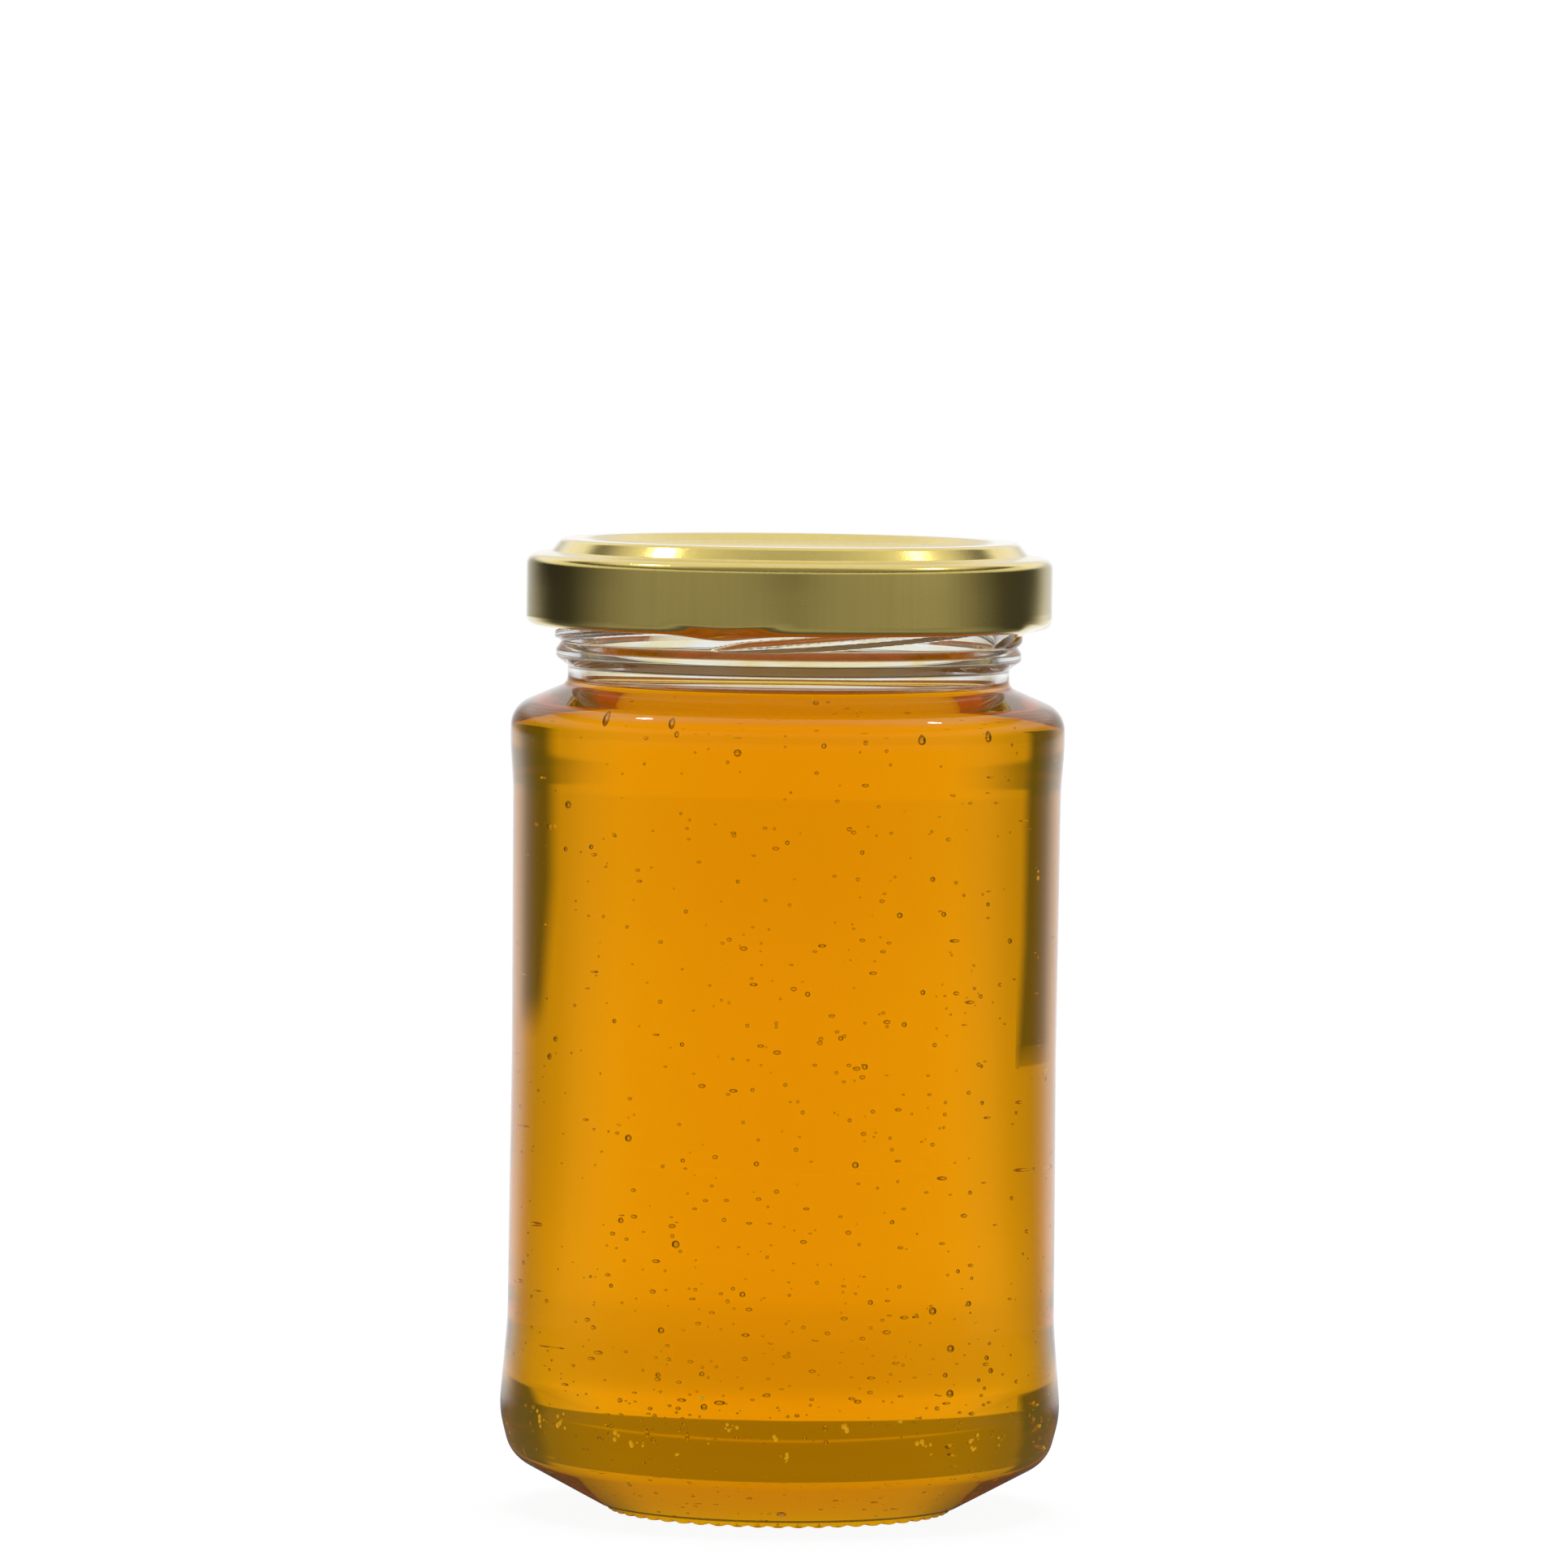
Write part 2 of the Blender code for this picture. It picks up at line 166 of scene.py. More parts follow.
TONES = {
    "Seen Far": both_ways([
        (0, 1.0), (25, 1.0), (33, 0.90), (39.5, 0.75), (44, 0.70), (51, 0.63), (180, 0.62),
    ]),
    "Seen Near": both_ways([
        (0, 1.0), (25, 1.0), (33, 0.94), (44, 0.74), (53, 0.62), (63, 0.68), (90, 1.0), (180, 1.0),
    ]),
    "Mirrored Far": [
        (-180, 0.19), (-170, 0.235), (-162, 0.28), (-138, 0.31), (-111, 0.30), (-102, 0.245),
        (-91, 0.17), (-80, 0.09), (-67, 0.036), (-50, 0.026), (-42, 0.045), (-36, 0.12), (-28, 0.27),
        (-17, 0.5), (-8, 0.95), (8, 0.95), (17, 0.65), (28, 0.55), (36, 0.34), (42, 0.13), (48, 0.065),
        (57, 0.05), (75, 0.06), (87, 0.13), (98, 0.23), (108, 0.34), (117, 0.36), (135, 0.33),
        (159, 0.295), (167, 0.265), (175, 0.2), (180, 0.19),
    ],
    "Mirrored Near": both_ways([
        (0, 1.0), (31, 0.85), (36, 0.7), (40, 0.5), (47, 0.2), (53, 0.06), (70, 0.05), (95, 0.26),
        (180, 0.30),
    ]),
    "Mirrored High": both_ways([
        (0, 0.78), (10, 0.8), (20, 0.95), (39, 1.0), (50, 0.85), (90, 0.7), (180, 0.6),
    ]),
    "Mirrored Rim": both_ways([(0, 0.8), (20, 0.95), (39, 1.0), (44, 0.12), (60, 0.06), (180, 0.2)]),
}
print("room tones:", {name: len(stops) for name, stops in TONES.items()})


# %% Node group for the tones
def tone_curve(tree, angle, stops):
    """A ramp of brightness over an angle from minus to plus half a turn."""
    share = maths(tree, "ADD", maths(tree, "DIVIDE", angle, math.tau), 0.5)
    ramp = feed(tree, add_node(tree, "ValToRGB"), Fac=share)
    points = ramp.color_ramp.elements
    while len(points) < len(stops):
        points.new(0.5)
    for point, (degrees, tone) in zip(points, stops):
        point.position = (degrees + 180) / 360
        point.color = (tone, tone, tone, 1)
    return ramp.outputs[0]


room = bpy.data.node_groups.new("room_tones", "ShaderNodeTree")
room.interface.new_socket("Towards", in_out="INPUT", socket_type="NodeSocketVector")
towards = room.nodes.new("NodeGroupInput").outputs["Towards"]
towards = feed(room, add_node(room, "SeparateXYZ"), Vector=towards).outputs
off_back = maths(room, "ARCTAN2", towards["X"], towards["Y"])
for name in TONES:
    room.interface.new_socket(name, in_out="OUTPUT", socket_type="NodeSocketFloat")
room_out = room.nodes.new("NodeGroupOutput")
for name, stops in TONES.items():
    room.links.new(tone_curve(room, off_back, stops), room_out.inputs[name])
print("the group gives", len(room_out.inputs) - 1, "tones for a way to look")


def tones_at(tree, towards):
    group = add_node(tree, "Group", node_tree=room)
    tree.links.new(towards, group.inputs["Towards"])
    return group.outputs


# %% [markdown]
# The world is the room's far part. It could be one flat grey, but then the jar's wall, shoulder and
# lid would all mirror the same. So it goes by height. Seen through the glass, a wall behind the table
# is duller than the table up to a few hand's breadths. What is mirrored has four stages on the way
# up: the room's far tones, then bright paper, which the shoulder mirrors, then a rim that is dark at
# the sides, which the lid mirrors, then a broad white ceiling. Rays that light matt things see an
# even, modest grey.

# %% Heights and tones of the world
# Each foot, top and edge is a pair of heights between which one tone gives way to the next.
def heights(*degrees):
    """The Z part of a way that points this many degrees up."""
    return [math.sin(math.radians(angle)) for angle in degrees]


AMBIENT = 0.35
WALL_DULL = 0.40
WALL_UPPER = 0.78
WALL_FOOT = heights(1.4, 3.0)
WALL_TOP = heights(11.4, 13.0)
PAPER_EDGE = heights(8, 18)
RIM_EDGE = heights(26, 30)
CEILING_EDGE = heights(33, 50)
CEILING_FRONT_TO_BACK = (-0.45, 0.1)
CEILING_FRONT = 0.28
CEILING_BACK = 0.85
WHITE = (1, 1, 1, 1)
print("the ceiling starts at", round(CEILING_EDGE[0], 3), "of the way up")


# %% World
def ray_kinds(tree):
    """Whether a ray comes from the camera, was bent through glass, or was either bent or mirrored."""
    path = add_node(tree, "LightPath").outputs
    bent = path["Is Transmission Ray"]
    return path["Is Camera Ray"], bent, maths(tree, "MAXIMUM", path["Is Glossy Ray"], bent)


world = bpy.data.worlds.new("white_room")
world.use_nodes = True
tree = world.node_tree
way = add_node(tree, "TexCoord").outputs["Generated"]
way_parts = feed(tree, add_node(tree, "SeparateXYZ"), Vector=way).outputs
height = way_parts["Z"]
tones = tones_at(tree, way)
wall_tone = blend(tree, eased(tree, height, *WALL_TOP), WALL_DULL, WALL_UPPER)
wall_tone = blend(tree, eased(tree, height, *WALL_FOOT), 1.0, wall_tone)
seen_through = maths(tree, "MULTIPLY", tones["Seen Far"], wall_tone)
mirrored = blend(tree, eased(tree, height, *PAPER_EDGE), tones["Mirrored Far"], tones["Mirrored High"])
mirrored = blend(tree, eased(tree, height, *RIM_EDGE), mirrored, tones["Mirrored Rim"])
ceiling = eased(tree, way_parts["Y"], *CEILING_FRONT_TO_BACK, CEILING_FRONT, CEILING_BACK)
mirrored = blend(tree, eased(tree, height, *CEILING_EDGE), mirrored, ceiling)
by_camera, bent, bent_or_mirrored = ray_kinds(tree)
tone = blend(tree, bent, mirrored, seen_through)
tone = blend(tree, bent_or_mirrored, AMBIENT, tone)
tone = blend(tree, by_camera, tone, 1.0)
feed(tree, tree.nodes["Background"], Color=WHITE, Strength=tone)
bpy.context.scene.world = world
print("the world has", len(tree.nodes), "nodes")

# %% [markdown]
# The floor carries on the same tones outside a white patch round the jar, so that views from higher
# up see white through the honey too. A plain white floor under strong lamps could look as white, but
# the lamps would wash out the jar. So the floor shows its tones by itself, and keeps a share of its
# real shading near the jar, which is the jar's soft shadow. Besides, the tones seen through the glass
# are darker under and beside the jar, and the tone that the glass mirrors is dark at the jar's foot:
# both are painted shadow.

# %% Floor sheet
FLOOR_SIZE = 8.0
floor_mesh = bpy.data.meshes.new("floor")
half = FLOOR_SIZE / 2
floor_corners = [(-half, -half, 0), (half, -half, 0), (half, half, 0), (-half, half, 0)]
floor_mesh.from_pydata(floor_corners, [], [(0, 1, 2, 3)])
floor = bpy.data.objects.new("floor", floor_mesh)
bpy.context.scene.collection.objects.link(floor)
print("the floor is", FLOOR_SIZE, "m wide")

# %% Floor finish
# Reaches are distances from the jar's axis in metres, and tones are shares of white.
FLOOR_COLOUR = (0.86, 0.86, 0.86, 1)
FLOOR_ROUGHNESS = 0.9
SHADE_SHARE = 0.06
SHADE_REACH = (0.12, 0.5)
# Under and beside the jar, the tones seen through the glass are darkened here: painted shadow.
SHADE_UNDER = 0.45
SHADE_BESIDE = 0.76
UNDER_JAR = (0.03, 0.06)
BESIDE_JAR = (0.07, 0.36)
NEAR_TO_FAR = (0.22, 0.5)
MIRRORED_NEAR_TO_FAR = (1.9, 2.7)
FAR_TONE = 0.93
FAR_REACH = (0.8, 1.7)
# At the jar's foot the tone that the glass mirrors goes dark: a painted contact shadow.
MIRRORED_SHADOW_REACH = (0.09, 0.22)
MIRRORED_SHADOW_TONE = 0.03

floor_material, tree, shader = new_material("white_floor")
feed(tree, shader, Base_Color=FLOOR_COLOUR, Roughness=FLOOR_ROUGHNESS, Specular_IOR_Level=0.0)
spot = add_node(tree, "TexCoord").outputs["Object"]
distance = feed(tree, add_node(tree, "VectorMath", operation="LENGTH"), i0=spot).outputs["Value"]
tones = tones_at(tree, spot)
far = eased(tree, distance, *NEAR_TO_FAR)
seen_through = blend(tree, far, tones["Seen Near"], tones["Seen Far"])
shade = eased(tree, distance, *UNDER_JAR, SHADE_UNDER, SHADE_BESIDE)
far_shade = eased(tree, distance, *FAR_REACH, 1.0, FAR_TONE)
shade = blend(tree, eased(tree, distance, *BESIDE_JAR), shade, far_shade)
seen_through = maths(tree, "MULTIPLY", seen_through, shade)
far = eased(tree, distance, *MIRRORED_NEAR_TO_FAR)
mirrored = blend(tree, far, tones["Mirrored Near"], tones["Mirrored Far"])
mirrored = blend(tree, eased(tree, distance, *MIRRORED_SHADOW_REACH), MIRRORED_SHADOW_TONE, mirrored)
by_camera, bent, bent_or_mirrored = ray_kinds(tree)
tone = blend(tree, by_camera, blend(tree, bent, mirrored, seen_through), 1.0)
glow = feed(tree, add_node(tree, "Emission"), Color=WHITE, Strength=tone)
whole = eased(tree, distance, *SHADE_REACH, 1 - SHADE_SHARE, 1.0)
share = maths(tree, "MULTIPLY", whole, maths(tree, "MAXIMUM", by_camera, bent_or_mirrored))
mixed = feed(tree, add_node(tree, "MixShader"), i0=share, i1=shader.outputs[0], i2=glow.outputs[0])
tree.links.new(mixed.outputs[0], tree.nodes["Material Output"].inputs["Surface"])
floor_mesh.materials.append(floor_material)
print("the floor's finish has", len(tree.nodes), "nodes")

# %% [markdown]
# Two dim grey cards stand far out on either side, behind the jar's sides. Seen through the honey they
# make its two dark olive strips, each on the other side, because the honey turns the view round as a
# lens does. The strips could be painted on the honey, but paint would look wrong from every other
# side. Only rays through the glass see the cards. Their edges fade, as an edge far out of focus does.

# %% Shape of a grey card
CARD_HEIGHT = 0.34
CARD_END = math.radians(80)
CARD_STEPS = 32


def card_sheet(name, side, distance, start):
    """A sheet curved round the jar's axis, from this angle off straight behind the jar to CARD_END."""
    mesh = bpy.data.meshes.new(name)
    spots, faces = [], []
    for i in range(CARD_STEPS + 1):
        angle = start + (CARD_END - start) * i / CARD_STEPS
        for level in (0, CARD_HEIGHT):
            spots.append((side * distance * math.sin(angle), distance * math.cos(angle), level))
        if i:
            faces.append((2 * i - 2, 2 * i - 1, 2 * i + 1, 2 * i))
    mesh.from_pydata(spots, [], faces)
    card = bpy.data.objects.new(name, mesh)
    bpy.context.scene.collection.objects.link(card)
    return card


# %% Finish of a grey card
CARD_FOOT = 0.014
CARD_GREY = (0.115, 0.115, 0.115, 1)
CARD_FADE_OUT = (math.radians(58), math.radians(76))
CARD_SLANT_TOP = 0.036


def card_finish(name, fade_in, slant):
    """Even grey that fades in over these angles, out again near the card's end, and at its foot.

    Below CARD_SLANT_TOP its near edge leans by slant, an angle for each metre down.
    """
    made, tree, shader = new_material(name)
    spot = add_node(tree, "TexCoord").outputs["Object"]
    spot = feed(tree, add_node(tree, "SeparateXYZ"), Vector=spot).outputs
    angle = maths(tree, "ABSOLUTE", maths(tree, "ARCTAN2", spot["X"], spot["Y"]))
    below = maths(tree, "MAXIMUM", maths(tree, "SUBTRACT", CARD_SLANT_TOP, spot["Z"]), 0.0)
    lean = maths(tree, "MULTIPLY", below, slant)
    there = eased(tree, maths(tree, "SUBTRACT", angle, lean), *fade_in)
    there = maths(tree, "MULTIPLY", there, eased(tree, spot["Z"], 0.0, CARD_FOOT))
    there = maths(tree, "MULTIPLY", there, eased(tree, angle, *CARD_FADE_OUT, 1.0, 0.0))
    glow = feed(tree, add_node(tree, "Emission"), Color=CARD_GREY, Strength=1.0)
    clear = add_node(tree, "BsdfTransparent")
    mixed = feed(tree, add_node(tree, "MixShader"), i0=there, i1=clear.outputs[0], i2=glow.outputs[0])
    tree.links.new(mixed.outputs[0], tree.nodes["Material Output"].inputs["Surface"])
    return made


# %% Stand the cards up
def grey_card(name, side, distance, fade_in, slant):
    """A card on the +X side (1) or the other (-1), with its angles in degrees."""
    fade_in = [math.radians(angle) for angle in fade_in]
    card = card_sheet(name, side, distance, fade_in[0])
    card.data.materials.append(card_finish(name, fade_in, math.radians(slant)))
    card.visible_camera = card.visible_diffuse = card.visible_glossy = False
    card.visible_shadow = card.visible_volume_scatter = False
    print(name, "stands", distance, "m away")


grey_card("card_right", side=1, distance=0.87, fade_in=(40, 48.5), slant=170)
grey_card("card_left", side=-1, distance=0.66, fade_in=(43.2, 49), slant=-100)

# %% [markdown]
# Three soft lamps light what is matt: a large one overhead and two to the sides, as in a small
# product studio. The world alone could light it all, but the two side lamps also show as the small
# bright marks on the jar's shoulder and the lid's ring. All are dim enough for a colour to render
# about as it is written.

# %% Lamps
def soft_lamp(name, place, aim, size, watts, mirrored=True):
    data = bpy.data.lights.new(name, "AREA")
    data.shape = "DISK"
    data.size = size
    data.energy = watts
    lamp = bpy.data.objects.new(name, data)
    lamp.location = place
    lamp.rotation_mode = "QUATERNION"
    lamp.rotation_quaternion = (Vector(aim) - Vector(place)).to_track_quat("-Z", "Y")
    lamp.visible_glossy = mirrored
    lamp.visible_transmission = False
    bpy.context.scene.collection.objects.link(lamp)
    print(name, "gives", watts, "W")


soft_lamp("lamp_overhead", place=(0, 0.1, 1.2), aim=(0, 0, 0.06), size=0.8, watts=20, mirrored=False)
soft_lamp("lamp_left", place=(-0.637, 0.118, 1.05), aim=(0, 0, 0.08), size=0.1, watts=0.6)
soft_lamp("lamp_right", place=(0.70, 0.075, 1.05), aim=(0, 0, 0.08), size=0.1, watts=0.6)

# %% [markdown]
# ## Turned shapes
# The glass, the honey and the lid are all round, so each is an outline turned about the jar's axis.
# Blender's Screw and Bevel modifiers could do it, but a mesh written point by point can be pushed in
# and out as it goes round. That is how the thread, the knurled foot and the lid's lugs come out of
# plain turned shapes. An outline is written as a few corners, each with a radius, a level and a
# fillet. One helper rounds every corner with a fine arc, and the next cuts long stretches into steps.

# %% Outline helpers
ARC_STEP = math.radians(6)
TINY = 1e-7


def filleted(corners):
    """Points along an outline of (radius, level, fillet) corners, in millimetres, each rounded."""
    points = [corners[0][:2]]
    for before, corner, after in zip(corners, corners[1:], corners[2:]):
        heading = math.atan2(corner[1] - before[1], corner[0] - before[0])
        leaving = math.atan2(after[1] - corner[1], after[0] - corner[0])
        bend = (leaving - heading + math.pi) % math.tau - math.pi
        most = min(math.dist(before[:2], corner[:2]), math.dist(corner[:2], after[:2])) / 2
        reach = min(corner[2] * math.tan(abs(bend) / 2), most)
        if reach < TINY:
            points.append(corner[:2])
            continue
        radius, side = reach / math.tan(abs(bend) / 2), math.copysign(1, bend)
        start = (corner[0] - reach * math.cos(heading), corner[1] - reach * math.sin(heading))
        x = start[0] - side * radius * math.sin(heading)
        z = start[1] + side * radius * math.cos(heading)
        steps = max(2, math.ceil(abs(bend) / ARC_STEP))
        for angle in np.linspace(heading, heading + bend, steps + 1):
            points.append((x + side * radius * math.sin(angle), z - side * radius * math.cos(angle)))
    points.append(corners[-1][:2])
    return np.array(points)


def finer(points, longest):
    """The same outline with its long stretches cut into steps no longer than this."""
    made = [points[0]]
    for start, end in zip(points, points[1:]):
        parts = max(1, math.ceil(math.dist(start, end) / longest))
        made.extend(start + (end - start) * i / parts for i in range(1, parts + 1))
    return np.array(made)


rounded = filleted([(0, 9, 0), (9, 9, 5), (9, 0, 0)])
print("a square corner rounded by 5 mm has", len(rounded) - 2, "points")


# %% Turn an outline
def rings_of(outline, steps, push):
    """The points of an outline in millimetres at every step of a turn, in metres."""
    angles = np.arange(steps) * math.tau / steps
    radius = np.repeat(outline[:, :1], steps, axis=1)
    level = np.repeat(outline[:, 1:], steps, axis=1)
    around = np.repeat(angles[None, :], len(outline), axis=0)
    if push:
        radius, level = push(around, radius, level)
    return np.stack([radius * np.sin(around), -radius * np.cos(around), level], axis=2) * MM


def turn(name, outline, steps, push=None, slots=None):
    """Turns an outline in millimetres, from the axis out and back to it, about Z.

    push(angle, radius, level) gives back each point's new radius and level, with the angle counted
    from the front towards +X. slots(row, level) numbers the material of each row of faces.
    """
    vertices, rows = [], []
    for row, ring in enumerate(rings_of(outline, steps, push)):
        on_axis = outline[row, 0] < TINY
        first = len(vertices)
        vertices.extend([ring[0]] if on_axis else ring)
        rows.append([first] * steps if on_axis else list(range(first, first + steps)))
    faces, face_rows = [], []
    for i, (upper, lower) in enumerate(zip(rows, rows[1:])):
        for j in range(steps):
            k = (j + 1) % steps
            corners = list(dict.fromkeys((upper[j], lower[j], lower[k], upper[k])))
            if len(corners) > 2:
                faces.append(corners)
                face_rows.append(i)
    mesh = bpy.data.meshes.new(name)
    mesh.from_pydata(vertices, [], faces)
    mesh.polygons.foreach_set("use_smooth", [True] * len(faces))
    if slots:
        middles = (outline + np.roll(outline, -1, axis=0)) / 2
        mesh.polygons.foreach_set("material_index", [slots(i, middles[i][1]) for i in face_rows])
    mesh.update()
    made = bpy.data.objects.new(name, mesh)
    bpy.context.scene.collection.objects.link(made)
    print(name, "has", len(faces), "faces")
    return made


# %% [markdown]
# ## A shared grain
# Moulded glass is a little wavy, rolled tinplate has faint streaks and specks, and sealing compound
# is mottled. Each could have its own pattern of nodes, but all are the same effect at other sizes:
# noise, drawn out or not along the jar's height, and turned into a 0 to 1 share. So it is one node
# group, placed in each material with its own values.

# %% Grain group
GRAIN_INPUTS = {"Across": 100.0, "Along": 100.0, "Detail": 2.0, "Contrast": 1.0}
grain = bpy.data.node_groups.new("fine_grain", "ShaderNodeTree")
for name, value in GRAIN_INPUTS.items():
    socket = grain.interface.new_socket(name, in_out="INPUT", socket_type="NodeSocketFloat")
    socket.default_value = value
grain.interface.new_socket("Share", in_out="OUTPUT", socket_type="NodeSocketFloat")
given = grain.nodes.new("NodeGroupInput").outputs
sizes = add_node(grain, "CombineXYZ")
feed(grain, sizes, X=given["Across"], Y=given["Across"], Z=given["Along"])
spot = add_node(grain, "TexCoord").outputs["Object"]
stretched = add_node(grain, "VectorMath", operation="MULTIPLY")
feed(grain, stretched, i0=spot, i1=sizes.outputs[0])
noise = add_node(grain, "TexNoise")
feed(grain, noise, Vector=stretched.outputs[0], Scale=1.0, Detail=given["Detail"])
spread = maths(grain, "MULTIPLY", maths(grain, "SUBTRACT", noise.outputs[0], 0.5), given["Contrast"])
grain_out = grain.nodes.new("NodeGroupOutput")
grain.links.new(maths(grain, "ADD", spread, 0.5, clamp=True), grain_out.inputs["Share"])
print("the grain's inputs:", sorted(GRAIN_INPUTS))


# %% Use the grain
def grain_in(tree, across, along, detail=2.0, contrast=1.0):
    """The grain with this many waves a metre round the jar and up it."""
    group = add_node(tree, "Group", node_tree=grain)
    feed(tree, group, Across=across, Along=along, Detail=detail, Contrast=contrast)
    return group.outputs["Share"]


def bumped(tree, shader, height, strength, depth):
    """Lets a 0 to 1 height tilt the light on a surface, as dents this many metres deep would."""
    bump = feed(tree, add_node(tree, "Bump"), Height=height, Strength=strength, Distance=depth)
    feed(tree, shader, Normal=bump.outputs[0])


# %% [markdown]
# ## The glass
# The jar is pressed and blown from clear soda-lime glass. It could be one thick tube with rounded
# ends, but light shows every bend of a glass wall, so the cavity and the outside are both drawn: the
# CAD outline, only finer. Three things are added that show at this scale alone: the rounded
# four-start thread on the neck, the fine knurling of the ring that the jar stands on, and a narrow
# groove over that ring.

# %% Glass outline in millimetres
MOUTH_RADIUS = 27.3
NECK_RADIUS = 29.95
LIP_LEVEL = 125.97
CAVITY = [
    (0, 7.0, 0), (23.0, 5.2, 9), (33.45, 11.23, 7), (33.45, 104.48, 3.8),
    (MOUTH_RADIUS, 107.13, 3.0), (MOUTH_RADIUS, LIP_LEVEL, 1.0),
]
OUTSIDE = [
    (NECK_RADIUS, LIP_LEVEL, 1.0), (NECK_RADIUS, 114.33, 0.5), (30.6, 113.38, 0.5),
    (30.6, 112.38, 0.5), (29.05, 111.23, 0.5), (29.05, 108.88, 1.4), (36.45, 105.69, 5.0),
    (36.45, 100.79, 30), (36.05, 95.49, 30), (35.85, 60.24, 30), (36.05, 24.99, 30),
    (37.0, 13.0, 12), (35.5, 7.2, 5), (24.4, 1.185, 0), (23.8, 0.86, 0.2), (23.0, 0.74, 0.1),
    (22.5, 0, 0.3), (20.2, 0, 0.3), (19.6, 0.8, 0.8), (9.8, 2.6, 12), (0, 2.6, 0),
]
MENISCUS_LEVEL = 108.9
COARSE_STEP = 6.0
FINE_STEP = 0.12
NEAR = 0.05
THREADED_FROM = 114.3

cavity = finer(filleted(CAVITY), COARSE_STEP)
outside = finer(filleted(OUTSIDE), COARSE_STEP)
neck_rows = (outside[:, 1] > THREADED_FROM) & (outside[:, 0] > NECK_RADIUS - NEAR)
below_neck = ~neck_rows & (np.arange(len(outside)) > np.argmax(neck_rows))
outside = np.vstack([finer(outside[neck_rows], FINE_STEP), outside[below_neck]])
first_dry = np.argmax((cavity[:, 1] > MENISCUS_LEVEL) & (cavity[:, 0] < MOUTH_RADIUS + NEAR))
cavity = np.vstack([cavity[:first_dry], [[MOUTH_RADIUS, MENISCUS_LEVEL]], cavity[first_dry:]])
glass_outline = np.vstack([cavity, outside])
print("the glass outline has", len(glass_outline), "points,", len(cavity), "of them inside")

# %% [markdown]
# The thread of a twist-off jar is four short ridges, each climbing about a quarter of a turn, so that
# a quarter turn of the lid closes it. They could be four swept strips joined to the neck, but a
# separate strip leaves a seam that glass shows. So the neck's own points are pushed out, by how far
# each is from the middle of a ridge. The knurling is made the same way: notches in the ring's foot.

# %% Thread
THREAD_STARTS = 4
THREAD_SPACING = 360 / THREAD_STARTS
THREAD_LEAD = 14.6
THREAD_START_LEVEL = 114.43
THREAD_TAIL = -18.0
THREAD_TURN = 104.0
THREAD_RELIEF = 0.95
THREAD_HALF_ROOT = 0.85
THREAD_HALF_CREST = 0.35
THREAD_FLANK = 0.05
THREAD_RUN_IN = 25.0
THREAD_SWELL = 0.6
THREAD_POINT = 9.0
THREAD_BLUNT = 0.15


def smooth(value):
    """Eases a 0 to 1 ramp at both ends, and holds it there."""
    value = np.clip(value, 0, 1)
    return value * value * (3 - 2 * value)


def thread_relief(degrees, level):
    """How far the thread stands out at these angles and levels."""
    relief = np.zeros_like(level)
    for start in range(THREAD_STARTS):
        along = (degrees - THREAD_TAIL - THREAD_SPACING * start) % 360
        middle = THREAD_START_LEVEL + THREAD_LEAD * along / 360
        from_end = np.minimum(along, THREAD_TURN - along)
        share = np.clip(from_end / THREAD_RUN_IN, 0, 1) ** THREAD_SWELL
        half_root = THREAD_HALF_ROOT * np.clip(THREAD_BLUNT + from_end / THREAD_POINT, 0, 1)
        flank = np.maximum(half_root - THREAD_HALF_CREST * share, THREAD_FLANK)
        off = (half_root - np.abs(level - middle)) / flank
        relief = np.maximum(relief, THREAD_RELIEF * share * smooth(off) * (from_end > 0))
    return relief


print("one turn of the lid would lift it by", THREAD_LEAD, "mm")

# %% Knurling
KNURLS = 53
KNURL_DEPTH = 0.27
KNURL_TOP = 0.6
KNURL_INSIDE, KNURL_OUTSIDE = 20.3, 23.6
THREAD_FOOT = 112


def glass_push(angle, radius, level):
    """Raises the four threads on the neck and notches the ring that the jar stands on."""
    degrees = np.degrees(angle)
    on_neck = (np.abs(radius - NECK_RADIUS) < NEAR) & (level > THREAD_FOOT)
    radius = radius + np.where(on_neck, thread_relief(degrees, level), 0)
    on_ring = (level < KNURL_TOP) & (radius > KNURL_INSIDE) & (radius < KNURL_OUTSIDE)
    notch = KNURL_DEPTH * (0.5 - 0.5 * np.cos(np.radians(degrees) * KNURLS)) ** 2
    return radius, level + np.where(on_ring, notch * (1 - level / KNURL_TOP), 0)


print("a knurl is", round(math.tau * KNURL_OUTSIDE / KNURLS, 2), "mm wide")

# %% [markdown]
# One clear glass would do for the whole jar, but seven slots of it make it look real. The inside is
# wetted by honey up to its rim and tinted above it with yellow smears, partly a film of honey and
# partly painted reflection. The outside mirrors less on the straight body and the shoulder's bend than
# on the neck, as in the soft light of the photograph. The ring that the jar stands on is tinted amber,
# a painted glow for the honey's light that it carries down, and the groove over it has a dark tint, a
# painted shade line. Each row of faces gets its slot by where it lies on the outline.

# %% Turn the glass
ROUND_STEPS = 288
FILM_LEVEL = 117.5
RING_TOP = 0.85
GROOVE_TOP = 1.2
RING_INSIDE = 20
BODY_LOW = 0.9
BODY_HIGH = 102.0
SHOULDER_TOP = 105.4
PLAIN, WETTED, BODY, SMEARED_AND_REFLECTING, SHOULDER, RING, GROOVE = range(7)


def glass_slots(row, level):
    """Which of the seven kinds of glass a row of faces is."""
    if row < len(cavity) - 1:
        return WETTED if level < MENISCUS_LEVEL else SMEARED_AND_REFLECTING if level < FILM_LEVEL else PLAIN
    if level < GROOVE_TOP and outside[row - len(cavity), 0] > RING_INSIDE:
        return RING if level < RING_TOP else GROOVE
    if level < BODY_HIGH:
        return BODY if level > BODY_LOW else PLAIN
    return SHOULDER if level < SHOULDER_TOP else PLAIN


